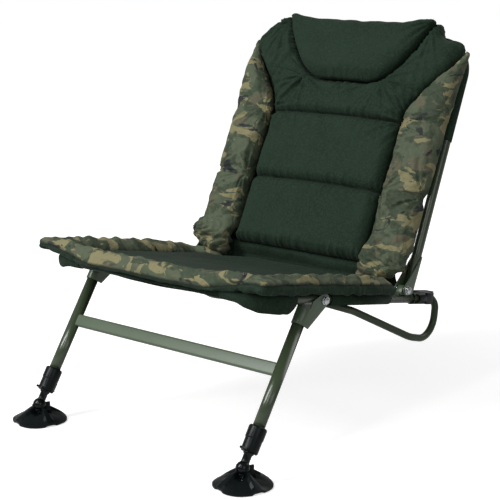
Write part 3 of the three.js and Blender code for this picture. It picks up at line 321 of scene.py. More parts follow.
def printed_colour(node, place, colours):
    """Ragged printed patches, 20 to 50 mm across and wider than high, laid over each other."""
    layers = (
        (colours.moss, 70, 0.5, 0.2, 0.03),
        (colours.earth, 56, 0.57, 3.7, 0.05),
        (colours.khaki, 66, 0.56, 7.1, 0.015),
        (colours.moss, 46, 0.6, 12.9, 0.03),
        (colours.ink, 66, 0.63, 17.3, 0.02),
        (colours.khaki, 16, 0.7, 23.1, 0.02),
    )
    tint = linear(colours.ground)
    for colour, size, level, offset, edge in layers:
        away = (offset, -offset, offset / 2)
        shifted = {"Vector": place, "Location": away, "Scale": (1, 1.3, 1.7)}
        moved = node("ShaderNodeMapping", shifted)
        ragged = spread(moved, size, 4.0, Roughness=0.5, Distortion=0.9)
        patch = node("ShaderNodeTexNoise", ragged)
        span = {"Value": patch, "From Min": level, "From Max": level + edge}
        inside = node("ShaderNodeMapRange", span)
        ends = {0: inside, 6: tint, 7: linear(colour)}
        tint = node("ShaderNodeMix", ends, 2, data_type="RGBA")
    wear = node("ShaderNodeTexNoise", spread(place, 9, 5.0, Roughness=0.65))
    span = {"Value": wear, "From Min": 0.35, "From Max": 0.65, "To Max": 0.22}
    dust = node("ShaderNodeMapRange", span)
    faded = {0: dust, 6: tint, 7: linear("70715F")}
    return node("ShaderNodeMix", faded, 2, data_type="RGBA")


def cloth(node, place, colour, roughness, crumple):
    """Cloth with painted shade in its sewn seams and a relief of threads, slubs and small creases.
    """
    # The seam attribute mixes the colour towards near black 0A0F0B: painted shade in the grooves of
    # the seams and folds.
    seam = node("ShaderNodeAttribute", output="Fac", attribute_name="seam")
    ends = {0: seam, 6: colour, 7: linear("0A0F0B")}
    tint = node("ShaderNodeMix", ends, 2, data_type="RGBA")
    thread = node("ShaderNodeTexNoise", spread(place, 3))
    bent = spread(place, 34, Roughness=0.45, Distortion=1.4)
    crease = node("ShaderNodeTexNoise", bent)
    span = {"Value": crease, "From Min": 0.44, "From Max": 0.56, "To Max": crumple}
    fold = node("ShaderNodeMapRange", span)
    slack = node("ShaderNodeTexNoise", spread(place, 60, 3.0))
    relief = fold
    for height, share in ((thread, 0.1), (slack, 1.6)):
        parts = {0: height, 1: share, 2: relief}
        relief = node("ShaderNodeMath", parts, operation="MULTIPLY_ADD")
    values = {"Base Color": tint, "Roughness": roughness}
    values |= {"Specular IOR Level": 0.14, "Sheen Weight": 0.03}
    surface(node, values, relief, 0.6, 3.0)


def brushed_microfibre(colours):
    # Brushed bottle-green polyester microfibre: soft and matt, with a faint bloom on the nap
    material, node, place = new_material("brushed_green_microfibre")
    cloth(node, place, plain_colour(node, place, colours.green), 0.8, 0.15)
    return material


def printed_polyester(colours):
    # Camouflage printed on coated woven polyester: a flat print with sharp little creases
    material, node, place = new_material("printed_camouflage_polyester")
    cloth(node, place, printed_colour(node, place, colours), 0.68, 0.45)
    return material


def bordered_polyester(colours):
    # Printed polyester border sewn to plain microfibre, told apart by the seam's distance
    material, node, place = new_material("printed_border_on_microfibre")
    plain = node("ShaderNodeAttribute", output="Fac", attribute_name="plain")
    span = {"Value": plain, "From Min": 0.47, "From Max": 0.53}
    side = node("ShaderNodeMapRange", span)
    printed = printed_colour(node, place, colours)
    ends = {0: side, 6: printed, 7: plain_colour(node, place, colours.green)}
    cloth(node, place, node("ShaderNodeMix", ends, 2, data_type="RGBA"), 0.72, 0.3)
    return material


# Meshes


def shade_smooth(mesh):
    mesh.polygons.foreach_set("use_smooth", [True] * len(mesh.polygons))


def object_from(bm, name, material, smooth_faces=True):
    mesh = bpy.data.meshes.new(name)
    bm.to_mesh(mesh)
    bm.free()
    piece = bpy.data.objects.new(name, mesh)
    bpy.context.scene.collection.objects.link(piece)
    mesh.materials.append(material)
    if smooth_faces:
        shade_smooth(mesh)
    mesh.update()
    return piece


def finish_piece(piece, body, slot, *nodes):
    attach(piece, body)
    if nodes:
        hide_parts(*nodes)


def placed(bm, matrix):
    bmesh.ops.transform(bm, matrix=matrix, verts=bm.verts[:])


def mirrored(route):
    """A route over one side of the chair and back over the other."""
    return route + [(-x, y, z) for x, y, z in reversed(route)]


def walled(bm, thickness, name, matrix, material):
    """Makes a piece of a sheet or a tube, with its thickness and with all faces out."""
    bmesh.ops.recalc_face_normals(bm, faces=bm.faces[:])
    bmesh.ops.solidify(bm, geom=bm.faces[:], thickness=thickness)
    bmesh.ops.recalc_face_normals(bm, faces=bm.faces[:])
    placed(bm, matrix)
    return object_from(bm, name, material)


def bent_tube(
    name, matrix, points, bends, radius, sides, material, wall=TUBE_WALL, steps=12, runs=1
):
    """Sweeps a circle along straight runs and round bends, then gives it a wall."""
    points = [Vector(p) for p in points]
    bm = bmesh.new()
    heading = (points[1] - points[0]).normalized()
    turn = heading.to_track_quat("Z", "Y").to_matrix().to_4x4()
    start = Matrix.Translation(points[0]) @ turn
    bmesh.ops.create_circle(bm, cap_ends=False, radius=radius, segments=sides, matrix=start)
    ring = bm.edges[:]
    here = points[0]

    def run(target):
        nonlocal ring, here
        part = (target - here) / runs
        for _ in range(runs):
            made = bmesh.ops.extrude_edge_only(bm, edges=ring)["geom"]
            verts = [g for g in made if isinstance(g, bmesh.types.BMVert)]
            bmesh.ops.translate(bm, verts=verts, vec=part)
            ring = [g for g in made if isinstance(g, bmesh.types.BMEdge)]
        here = target

    for index in range(1, len(points) - 1):
        corner = points[index]
        into = (points[index - 1] - corner).normalized()
        out = (points[index + 1] - corner).normalized()
        half = into.angle(out) / 2
        bend = bends[index - 1]
        reach = bend / tan(half)
        run(corner + into * reach)
        centre = corner + (into + out).normalized() * (bend / sin(half))
        axis = (-into).cross(out).normalized()
        geom = ring + list({v for e in ring for v in e.verts})
        spun = bmesh.ops.spin(
            bm, geom=geom, cent=centre, axis=axis, angle=pi - 2 * half, steps=steps
        )["geom_last"]
        ring = [g for g in spun if isinstance(g, bmesh.types.BMEdge)]
        here = corner + out * reach
    run(points[-1])
    return walled(bm, wall, name, matrix, material)


def merge_into(piece, bm):
    """Adds a bmesh to a piece."""
    whole = bmesh.new()
    whole.from_mesh(piece.data)
    spare = bpy.data.meshes.new("spare")
    bm.to_mesh(spare)
    bm.free()
    whole.from_mesh(spare)
    bpy.data.meshes.remove(spare)
    whole.to_mesh(piece.data)
    whole.free()
    shade_smooth(piece.data)


def round_edges(piece, width, angle, harden):
    """Rounds the sharp edges of a piece by this many millimetres."""
    rounding = piece.modifiers.new("bevel", "BEVEL")
    rounding.width = width * MM
    rounding.segments = 2
    rounding.limit_method = "ANGLE"
    rounding.angle_limit = radians(angle)
    rounding.harden_normals = harden


def chamfered_box(low, high, chamfer):
    bm = bmesh.new()
    bmesh.ops.create_cube(bm, size=1.0)
    size = Vector(high) - Vector(low)
    middle = (Vector(high) + Vector(low)) / 2
    placed(bm, Matrix.Translation(middle) @ Matrix.Diagonal((*size, 1)))
    rounding = {"segments": 2, "profile": 0.5, "affect": "EDGES", "clamp_overlap": True}
    bmesh.ops.bevel(bm, geom=bm.edges[:], offset=chamfer, material=-1, **rounding)
    return bm


# Padding


def padded_mesh(name, columns, rows, at):
    """A closed shell from a grid, each point placed by its share across, share along and face."""
    bm = bmesh.new()
    bmesh.ops.create_grid(bm, x_segments=columns, y_segments=rows, size=1.0)
    bmesh.ops.solidify(bm, geom=bm.faces[:], thickness=0.1)
    middle = sum(v.co.z for v in bm.verts) / len(bm.verts)
    for vert in bm.verts:
        u, v = clamp(vert.co.x, -1, 1), (clamp(vert.co.y, -1, 1) + 1) / 2
        vert.co = at(u, v, 0 if vert.co.z > middle else 1)
    bmesh.ops.recalc_face_normals(bm, faces=bm.faces[:])
    mesh = bpy.data.meshes.new(name)
    bm.to_mesh(mesh)
    bm.free()
    return mesh


def inflated(mesh, matrix, material, settings, folds, swell=1.0):
    """Fills a cover with Cloth pressure, caps how far it moves, and lays its folds."""
    piece = bpy.data.objects.new(mesh.name, mesh)
    bpy.context.scene.collection.objects.link(piece)
    mesh.transform(matrix)
    remesh = piece.modifiers.new("remesh", "REMESH")
    remesh.mode = "VOXEL"
    remesh.voxel_size = settings.voxel * 1
    applied(piece)
    rest = [v.co.copy() for v in piece.data.vertices]
    filling = piece.modifiers.new("cloth", "CLOTH")
    filling.settings.use_pressure = True
    filling.settings.uniform_pressure_force = settings.pressure
    filling.settings.quality = 4
    filling.settings.mass = 0.25
    filling.settings.bending_stiffness = 0.4
    filling.settings.effector_weights.gravity = 0
    filling.point_cache.frame_start = 1
    filling.point_cache.frame_end = FILLING_FRAMES
    for number in range(1, FILLING_FRAMES + 1):
        bpy.context.scene.frame_set(number)
    applied(piece)
    bpy.context.scene.frame_set(1)
    limit = settings.swell * swell
    for vert, start in zip(piece.data.vertices, rest):
        move = vert.co - start
        if move.length > limit:
            move *= limit / move.length
        vert.co = start + move
    subdivide = piece.modifiers.new("subdivide", "SUBSURF")
    subdivide.levels = subdivide.render_levels = 1
    applied(piece)
    piece.data.materials.clear()
    piece.data.materials.append(material)
    shade_smooth(piece.data)
    reshaped(piece, matrix, folds)
    return piece


def applied(piece):
    """Replaces a piece's mesh with what its modifiers make of it."""
    graph = bpy.context.evaluated_depsgraph_get()
    graph.update()
    mesh = bpy.data.meshes.new_from_object(piece.evaluated_get(graph))
    mesh.name = piece.name
    old = piece.data
    piece.modifiers.clear()
    piece.data = mesh
    bpy.data.meshes.remove(old)


def reshaped(piece, matrix, change):
    """Moves each point in a tilted frame's own millimetres."""
    back = matrix.inverted()
    for vert in piece.data.vertices:
        local = back @ vert.co
        vert.co = matrix @ change(local)
    piece.data.update()


def crushed(piece):
    """Gives the padding a mesh of its own."""
    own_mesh(piece)


# Seat cushion, in the seat's frame: the border stands round a dished middle

RAIL_AXIS = 260
SEAT_FRONT = -188.0
SEAT_REAR = 259.0
SEAT_HALF = 288.0
SEAT_NECK = (200.0, 236.0, 231.0)
SEAT_CORNER = 15.0
SIDE_BORDER = 58.0
FRONT_BORDER = 40.0
INNER_SEAM = 15.0
DISH = 12.0
OVER_TUBE = 12.5


def seat_half(y):
    rounding = clamp((SEAT_CORNER - (y - SEAT_FRONT)) / SEAT_CORNER)
    corner = SEAT_CORNER * (1 - sqrt(max(0.0, 1 - rounding * rounding)))
    waist = 3 * sin(pi * clamp((y - SEAT_FRONT) / 400))
    return mix(SEAT_HALF, SEAT_NECK[2], smooth(y, SEAT_NECK[0], SEAT_NECK[1])) - corner - waist


def sling_height(x):
    return 7 - 22 * (1 - min(1.0, abs(x) / 249) ** 2)


def seat_border(x, y):
    """Share of the way across the border, and the distance beyond its inner seam."""
    side = seat_half(max(y, SEAT_FRONT + SEAT_CORNER)) - abs(x)
    front = y - SEAT_FRONT
    beyond = min(side - SIDE_BORDER, front - FRONT_BORDER)
    return min(side / SIDE_BORDER, front / FRONT_BORDER), beyond


def seat_tip(x, y):
    """1 at the corner away from the camera, which is pulled to a point, and less at the other."""
    distance = hypot(SEAT_HALF - abs(x), y - SEAT_FRONT)
    return (1 - smooth(distance, 0, 60)) * (1.0 if x < 0 else 0.3)


def seat_rim(x, y, rim):
    side = mix(rim - 3, rim + 3, smooth(x, -60, 60))
    front = mix(rim - 10, side, smooth(abs(x), 110, 285))
    side = mix(side, rim - 9, smooth(y, 130, SEAT_REAR))
    return mix(front, side, smooth(y - SEAT_FRONT, 40, 85)) + 2 * seat_tip(x, y)


def seat_top(x, y, rim):
    border, beyond = seat_border(x, y)
    rear = smooth(y, SEAT_REAR - 110, SEAT_REAR - 14)
    middle = mix(INNER_SEAM, mix(DISH, 25, rear), smooth(beyond, 0, 100))
    roll = clamp((1 - border) / 0.68)
    return mix(middle, seat_rim(x, y, rim), (1 - (1 - roll) ** 2) ** 0.85 if border < 1 else 0)


def seat_lip(x, y):
    """Height of the boxing's lower edge: lowest in the middle of the front."""
    return mix(-6, 12.5, smooth(abs(x), 140, 262)) + 6 * seat_tip(x, y)


def seat_point(u, v, face, rim):
    y = mix(SEAT_FRONT, SEAT_REAR, v**1.25)
    half = seat_half(y)
    x = half * sin(u * pi / 2)
    lip = seat_lip(x, y)
    over_tube = 1 - smooth(min(RAIL_AXIS - abs(x), y - RAIL_FRONT), 13, 24)
    under = mix(sling_height(x) + 2, OVER_TUBE + 6 * seat_tip(x, y), over_tube)
    under = mix(under, lip, 1 - smooth(y, -182, -174))
    if face:
        return Vector((x, y, under))
    edge = mix(15, 7, seat_tip(x, y))
    soft = min(fullness(half - abs(x) + 2, edge), fullness(y - SEAT_FRONT + 2, edge))
    corner = smooth(abs(x), 140, 170)
    rear = fullness(SEAT_REAR - y + 2, mix(20, 48, corner))
    top = max(seat_top(x, y, rim), under + 8)
    foot = mix(under + 4, lip + 5, 1 - smooth(y, -150, -120))
    return Vector((x, y, mix(foot, top, soft * mix(1, rear, mix(0.5, 0.9, corner)))))


def marked(piece, matrix, name, value_at):
    """Stores a number between 0 and 1 on each point, for the materials."""
    back = matrix.inverted()
    values = [clamp(value_at(back @ v.co)) for v in piece.data.vertices]
    piece.data.attributes.new(name, "FLOAT", "POINT").data.foreach_set("value", values)


def seat_piping(p):
    """Height of the seam between the printed border and the plain boxing."""
    front = mix(3, 28, smooth(abs(p.x), 120, 285))
    wave = 2.5 * rough(p.x + p.y, 0, 0, 34, 3) if p.y > -150 else 0
    return mix(front, 28 + wave, smooth(p.y, -172, -120)) - 6 * seat_tip(p.x, p.y)


def seat_plain(p):
    """More than 0.5 on the plain middle panel and on the plain boxing."""
    border, beyond = seat_border(p.x, p.y)
    middle = beyond + 1.5 * rough(p.x, p.y, 0, 40) if p.z > 4 else -20
    boxing = seat_piping(p) - p.z if border < 0.5 else -20
    return 0.5 + max(middle, boxing) / 10


def seat_seam_shade(p):
    """Painted shade in the sewn seams and in the fold at their foot."""
    border, beyond = seat_border(p.x, p.y)
    inner = 1 - abs(beyond) / 4 if p.z > 4 and p.y < 240 else 0
    piping = 1 - abs(seat_piping(p) - p.z) / 3.5 if border < 0.4 else 0
    return 0.75 * max(inner, piping)


def seat_folds(p):
    """Seam grooves, puckers beside them and creases across the border roll."""
    border, beyond = seat_border(p.x, p.y)
    side = copysign(1, p.x)
    piping = 1 - fullness(abs(seat_piping(p) - p.z), 6)
    outer = smooth(abs(p.x), 262, 282) * smooth(p.y, SEAT_FRONT, SEAT_FRONT + 20)
    wrinkle = 3.2 * piping + 3.4 * rough(0.3 * p.y, p.z, 0, 12, 5)
    wrinkle += 1.2 * rough(p.y, 0.3 * p.z, 0, 9, 2)
    p.x -= side * outer * wrinkle
    facing = 1 - smooth(p.y, SEAT_FRONT + 4, SEAT_FRONT + 20)
    p.y += facing * (3.2 * piping + 2.4 * rough(0.3 * p.x, p.z, 0, 11, 4))
    if p.z < seat_lip(p.x, p.y) + 5 and border < 0.35:
        p.z += 2.4 * rough(p.x, p.y, 0, 24, 9)
    if p.z < 9:
        return p
    sewn = 1 - smooth(p.y, 215, 240)
    p.z -= 6 * sewn * (1 - fullness(abs(beyond), 10))
    at_front = (p.y - SEAT_FRONT) / FRONT_BORDER < (seat_half(p.y) - abs(p.x)) / SIDE_BORDER
    along, across = (p.x, p.y) if at_front else (p.y, p.x)
    roll = bump_at(border, 0.45, 0.42)
    p.z += 4.6 * roll * rough(along + 0.6 * across, 0.2 * across, 0, 24, 3)
    p.z += 2.6 * roll * rough(along - 0.8 * across, 0.3 * across, 0, 11, 6)
    p.z += 2.0 * rough(along, 0.15 * across, 0, 9, 7) * bump_at(abs(beyond), 7, 13) * sewn
    p.z += 3.0 * rough(p.x, 0.6 * p.y, 0, 80, 1.7) * smooth(beyond, 0, 40)
    return p


class CHAIR_OT_seat(bpy.types.Operator):
    """Makes the padded seat with its camouflage border and plain boxing"""

    bl_idname = "chair.seat"
    bl_label = "Seat Cushion"

    def execute(self, context):
        settings = context.scene.chair
        rim = settings.soft.rim / MM
        mesh = padded_mesh("seat_pad", 96, 80, partial(seat_point, rim=rim))
        cover = bordered_polyester(settings.colours)
        piece = inflated(mesh, SEAT, cover, settings.soft, seat_folds)
        marked(piece, SEAT, "plain", seat_plain)
        # Painted shade in the seat's seams and folds goes into the seam attribute.
        marked(piece, SEAT, "seam", seat_seam_shade)
        finish_piece(piece, "seat", "cloth_camo", "seat_cushion")
        crushed(piece)
        return {"FINISHED"}


# Backrest padding, measured along the back from its pivot

PAD_REST = 1.0
PAD_FOOT = 33
PAD_HEAD = 505
BOLSTER_HEAD = 486
SEAMS = (177.0, 322.0)
PILLOW_FOOT = 396.0
PILLOW_HEAD = 540.0


def pad_half(z):
    rounding = clamp((z - 484) / 21)
    corner = 19 * (1 - sqrt(max(0.0, 1 - rounding * rounding)))
    return mix(168, 263, smooth(z, 326, 492)) - corner


def pad_lift(x, z):
    """The cover is pulled up to the pillow's upper corners, steeply on one side."""
    raised = 35 * (1 - smooth(x, 190, 214)) if x > 0 else 36 - 52 * smooth(-x, 196, 264)
    return raised * smooth(z, 470, 505)


def valley(z, width=20.0):
    """Depth of the sewn channels, 1 on the seam."""
    return max(1 - fullness(abs(z - seam), width) for seam in SEAMS)


def channel_z(p):
    """Height along the back, counted from channels that sag a little in the middle."""
    return p.z - 4 * cos(clamp(abs(p.x) / 169) * pi / 2)


def pillow_half(z):
    return 40 + 147 * clamp((z - PILLOW_FOOT) / (PILLOW_HEAD - PILLOW_FOOT)) ** 0.42


def outside_pillow(x, z):
    """Distance from the pillow's seam, negative inside it."""
    near = min(hypot(x_edge - abs(x), z_edge - z) for x_edge, z_edge in PILLOW_EDGE)
    return -near if z > PILLOW_FOOT and abs(x) < pillow_half(z) else near


PILLOW_HEIGHTS = [PILLOW_FOOT + step**2 / 50 for step in range(0, 88, 3)]
PILLOW_EDGE = [(0, PILLOW_FOOT), (20, PILLOW_FOOT), *((pillow_half(z), z) for z in PILLOW_HEIGHTS)]


def back_point(u, v, face):
    z = mix(PAD_FOOT, PAD_HEAD, v)
    half = pad_half(z) - 2
    x = half * sin(u * pi / 2)
    height = z + pad_lift(x, z)
    if face:
        return Vector((x, PAD_REST, height))
    under_pillow = smooth(-outside_pillow(x, z), -8, 12)
    thick = mix(29, 24, smooth(z, 330, 400)) * (1 - 0.65 * under_pillow)
    edge = min(half - abs(x), z - PAD_FOOT, (PAD_HEAD - z) * 1.4)
    return Vector((x, PAD_REST - mix(5, thick, fullness(edge + 1, 20)), height))


def pillow_point(u, v, face):
    z = mix(PILLOW_FOOT + 2, PILLOW_HEAD, v)
    half = pillow_half(z) - 2
    x = half * sin(u * pi / 2)
    edge = max(0, min(-outside_pillow(x, z), (PILLOW_HEAD - z) * 1.5))
    full = fullness(edge + 1, 36)
    z -= 6 * cos(x / 187 * pi / 2) * smooth(z, 470, 540)
    if face:
        return Vector((x, PAD_REST - 3 - 2 * full, z))
    return Vector((x, PAD_REST - mix(14, 37, full), z))


def bolster_half(z):
    outer = mix(266, 270, smooth(z, 60, 280)) - 8 * bump_at(z, 177, 12) - 3 * bump_at(z, 322, 12)
    return mix(outer, 266, smooth(z, 380, 470)) - 14 * (1 - smooth(z, 7, 15))


def bolster_point(u, v, face):
    z = mix(0, BOLSTER_HEAD, v)
    inner = pad_half(z) - 1 - 4 * smooth(z, 380, 440)
    outer = max(bolster_half(z), inner + 5)
    width = outer - inner
    t = (sin(u * pi / 2) + 1) / 2
    thick = min(31, 8 + width * 0.5) * (1 - 0.2 * valley(z, 16))
    roll = min(fullness(width * t + 1, 18), fullness(width * (1 - t) + 1, 44))
    roll *= min(fullness(z + 1, 13), fullness(BOLSTER_HEAD + 1 - z, 30))
    lift = 12 * smooth(outer - width * (1 - t), 222, 237) - 2 * (1 - smooth(width * t, 20, 60))
    z += lift * (1 - smooth(z, 12, 60))
    rear = PAD_REST - 16 * (1 - smooth(z, 44, 76))
    if face:
        return Vector((inner + width * t, rear, z))
    return Vector((inner + width * t, rear - mix(8, thick + 4, roll), z))


def pinched(x, z, at_x, at_z, reach, seed):
    """Folds that run out from a point where the seams pull the cloth in."""
    dx, dz = x - at_x, z - at_z
    fade = exp(-hypot(dx, dz) / reach)
    angle = atan2(dz, dx)
    return fade * rough(3 * cos(angle), 3 * sin(angle), 0, 0.42, seed)


def pleated(x, y, z, scale, seed):
    """Noise with sharp valleys, as in cloth that is pushed together."""
    return abs(rough(x, y, z, scale, seed)) * 2 - 0.35


def sewn_back(p):
    """Channels, puckers beside them, and the folds round the pillow."""
    front = smooth(PAD_REST - p.y, 5, 14)
    middle = 1 - smooth(abs(p.x), 172, 186)
    z = channel_z(p)
    near = min(abs(z - seam) for seam in SEAMS)
    ring = outside_pillow(p.x, p.z)
    p.y += front * middle * 20 * valley(z)
    p.y -= front * middle * 2.8 * pleated(p.x, 0.12 * z, 0, 9, 2) * bump_at(near, 9, 14)
    p.y -= front * 4.5 * pleated(p.x, 0.12 * p.z, 0, 11, 4) * bump_at(p.z, 44, 16)
    p.y += front * 14 * (1 - fullness(max(ring, 0), 18)) * smooth(p.z, 372, 392)
    side = copysign(1, p.x)
    x = side * p.x
    folds = pinched(x, p.z, 96, 404, 80, 3 + side) + pinched(x, p.z, 184, 520, 60, 8 + side)
    folds += 0.8 * pinched(x, p.z, 176, 326, 45, 13 + side)
    p.y -= front * 13 * folds * smooth(ring, 0, 10)
    shoulder = smooth(p.z, 330, 400)
    p.y -= front * shoulder * 4 * pleated(p.x + 0.6 * side * p.z, 0.3 * p.z, 0, 26, 9)
    p.y -= front * 1.6 * rough(p.x, p.z, 0, 55, 6)
    p.y = min(p.y, 4)
    return p


def back_seam_shade(p):
    """Painted shade on the line of the channels, of the pillow's outline and of the pad's lower
    edge.
    """
    near = min(abs(channel_z(p) - seam) for seam in SEAMS)
    channel = 1 - near / 3.2 if abs(p.x) < 180 else 0
    outline = 1 - abs(outside_pillow(p.x, p.z)) / 4
    side = 1 - abs(pad_half(p.z) - abs(p.x)) / 4
    return 0.85 * max(channel, outline, side, 1 - (p.z - PAD_FOOT + 1) / 5)


def gathered_side(p, side):
    """Folds of the side rolls: pinched at the seams and crumpled at the foot."""
    front = smooth(PAD_REST - p.y, 2, 14)
    low = 1 - smooth(p.z, 36, 110)
    folds = sum(pinched(p.x, p.z, 176, seam, 55, seed + side) for seam, seed in zip(SEAMS, (2, 6)))
    folds += pinched(p.x, p.z, 262, 30, 60, 9 + side) + pinched(p.x, p.z, 258, 177, 55, 12 + side)
    p.y -= front * 10 * folds
    slant = p.z + 0.5 * p.x
    p.y -= front * mix(2.6, 11, low) * pleated(0.3 * p.x, 0, slant, mix(26, 17, low), 5 * side)
    outer = smooth(p.x, 215, 255)
    p.x += outer * mix(0.8, 4, low) * rough(0.3 * p.y, 0, p.z, 15, 9 * side)
    p.z += low * 5 * rough(p.x, 0, 0.5 * p.z, 17, 3 * side)
    p.y = min(p.y, 4)
    return p


def plump_pillow(p):
    front = smooth(PAD_REST - p.y, 12, 24)
    side = copysign(1, p.x)
    p.y -= front * 3.0 * rough(p.x, 0, p.z, 48, 2.5)
    p.y -= front * 7 * pinched(side * p.x, p.z, 182, 534, 45, 4 + side)
    p.y -= front * 2.0 * pleated(p.x, 0, 0.15 * p.z, 11, 7) * bump_at(p.z, PILLOW_FOOT + 8, 12)
    p.z += smooth(p.z, 505, 538) * 3 * rough(p.x, 0, 0, 24, 1.5)
    return p


class CHAIR_OT_back_padding(bpy.types.Operator):
    """Makes the plain back pad with its sewn channels and the two camouflage bolsters"""

    bl_idname = "chair.back_padding"
    bl_label = "Back Padding"

    def execute(self, context):
        settings = context.scene.chair
        mesh = padded_mesh("back_cushion", 84, 90, back_point)
        green = brushed_microfibre(settings.colours)
        pad = inflated(mesh, BACK, green, settings.soft, sewn_back, 1.2)
        # Painted shade in the back pad's channels and outlines goes into the seam attribute.
        marked(pad, BACK, "seam", back_seam_shade)
        finish_piece(pad, "backrest", "cloth_green", "back_pad")
        crushed(pad)
        camo = printed_polyester(settings.colours)
        for name, side in SIDES:
            mesh = padded_mesh(f"bolster_{name}", 26, 110, bolster_point)
            flip = BACK @ Matrix.Diagonal((side, 1, 1, 1))
            folds = partial(gathered_side, side=side)
            roll = inflated(mesh, flip, camo, settings.soft, folds, 1.2)
            finish_piece(roll, "backrest", "cloth_camo", f"back_bolster_{name}")
            crushed(roll)
        return {"FINISHED"}


class CHAIR_OT_headrest(bpy.types.Operator):
    """Makes the headrest pillow"""

    bl_idname = "chair.headrest"
    bl_label = "Headrest Pillow"

    def execute(self, context):
        settings = context.scene.chair
        mesh = padded_mesh("pillow", 70, 44, pillow_point)
        green = bpy.data.materials["brushed_green_microfibre"]
        piece = inflated(mesh, BACK, green, settings.soft, plump_pillow)
        finish_piece(piece, "backrest", "cloth_green", "headrest_pillow")
        return {"FINISHED"}


# Sewn covers


def cloth_panel(name, matrix, columns, rows, at, material, thickness=1.2):
    """One curved sheet with its thickness, from a grid; a ring closes where its ends meet."""
    bm = bmesh.new()
    bmesh.ops.create_grid(bm, x_segments=columns, y_segments=rows, size=1.0)
    for vert in bm.verts:
        vert.co = at(vert.co.x, (vert.co.y + 1) / 2)
    bmesh.ops.remove_doubles(bm, verts=bm.verts[:], dist=MERGE)
    return walled(bm, thickness, name, matrix, material)


def loose(centre_x, low, high, seed):
    """Sleeve cloth stands off its tube in shallow rings of slack."""

    def change(p):
        away = Vector((p.x - centre_x, 0, p.z)).normalized()
        amount = mix(low, high, 0.5 + rough(p.x, p.y, p.z, 14, seed))
        return p + away * max(0, amount)

    return change


POCKET_REAR = -74
POCKET_WIDTH = 84


def pocket_sag(p, half, side):
    """The corner pockets hang in one slack fold, deepest on the side rail."""
    inward = (half * side - p.x) * side
    path = POCKET_REAR - p.y
    if inward >= 2:
        path = 34 + 86 * clamp(inward / 56) + max(0.0, inward - 56)
    deep = 1.2 * sqrt(clamp((path + 1) / 9)) * (1 - smooth(path, 44, 128))
    deep *= 1 if side > 0 else 0.45
    if p.z < 0:
        p.z *= 1.1 + deep
        p.x -= side * 2 * deep * rough(p.x, p.y, p.z, 16, 2)
    p.z += (0.6 + deep) * rough(p.x, p.y, p.z, 17, 6)
    return p


GUSSET_HALF = 236
GUSSET_TURN = 0.35


def gusset_line(t):
    """From under the seat's rear edge, up in a soft bulge to the foot of the back pad."""
    turn = Vector((0, SEAT_REAR + 16, 26))
    if t < GUSSET_TURN:
        return Vector((0, SEAT_REAR + 4, 10)).lerp(turn, t / GUSSET_TURN)
    foot = SEAT.inverted() @ (BACK @ Vector((0, 0, 38)))
    rise = (t - GUSSET_TURN) / (1 - GUSSET_TURN)
    return turn.lerp(foot, rise) + Vector((0, -6, 2)) * sin(pi * clamp(rise))


def gusset_hollow(x):
    """Where the gusset sinks away behind the seat."""
    return max(0.0, 1 - ((x + 70) / 125) ** 2)


def gusset_point(u, v):
    p = gusset_line(v)
    p.x = GUSSET_HALF * u
    p.y += 2.5 * rough(p.x, 0, 30 * v, 60, 4)
    p.y += 7 * gusset_hollow(p.x) * bump_at(v, 0.42, 0.34)
    p.z += (sling_height(p.x) - 8) * (1 - smooth(v, 0, 0.4))
    p.z += 2.0 * rough(p.x, 0, 20 * v, 45, 8) * sin(pi * v)
    return p


def seat_sling_point(u, v):
    y = mix(-150, 246, v)
    room = 26 * smooth(y, -92, -80) * (1 - smooth(y, 14, 26))
    half = 248 - room - 2 * abs(sin(v * 22))
    if y < -108:
        half = 204 + sqrt(max(1.0, 44 ** 2 - (108 + y) ** 2)) - 1
    x = half * u
    return Vector((x, y, sling_height(x) + 0.8 * rough(x, y, 0, 40, 5) - 1))


def back_sling_point(u, v):
    z = mix(36, 502, v)
    half = 246 if z < 74 else 249 - 8 * smooth(z, 90, 480)
    x = half * u * (1 - 0.07 * smooth(z, 440, 502) * abs(u) ** 6)
    slack = 1.4 * rough(x, 0, z, 90, 3) * (1 - abs(u) ** 6)
    return Vector((x, 6.4 + max(slack, -0.6), z))


class CHAIR_OT_covers(bpy.types.Operator):
    """Makes the tunnels round the seat's tubes, the corner pockets and the sling under the seat"""

    bl_idname = "chair.covers"
    bl_label = "Sewn Covers"

    def execute(self, context):
        sizes = context.scene.chair.tubes
        green = bpy.data.materials["brushed_green_microfibre"]
        half = sizes.spacing / 2 / MM
        radius = sizes.tube / 2 / MM + 1.5
        for name, side in SIDES:
            x = half * side
            route = [(x, 212, 0), (x, 120, 0), (x, 26, 0)]
            sleeve = bent_tube(
                f"rail_sleeve_{name}", SEAT, route, [SLEEVE_BEND], radius, 40, green, 1.0, 40
            )
            reshaped(sleeve, SEAT, loose(x, 0, 1.6, 3))
            finish_piece(sleeve, "seat", "cloth_green", f"rail_tunnel_{name}")
            end = x - POCKET_WIDTH * side
            route = [(x, POCKET_REAR, 0), (x, RAIL_FRONT, 0), (end, RAIL_FRONT, 0)]
            label = f"corner_sleeve_{name}"
            bend = [RAIL_BEND]
            pocket = bent_tube(label, SEAT, route, bend, radius + 0.4, 48, green, 1.0, 40, 10)
            reshaped(pocket, SEAT, partial(pocket_sag, half=half, side=side))
            finish_piece(pocket, "seat", "cloth_green", f"corner_pocket_{name}")
        route = [(x, RAIL_FRONT, 0) for x in (175, 0, -175)]
        front = bent_tube("front_sleeve", SEAT, route, [SLEEVE_BEND], radius, 32, green, 1.0, 60)
        finish_piece(front, "seat", "cloth_green", "front_tunnel")
        sling = cloth_panel("seat_underside", SEAT, 60, 60, seat_sling_point, green)
        finish_piece(sling, "seat", "cloth_green", "seat_sling")
        return {"FINISHED"}


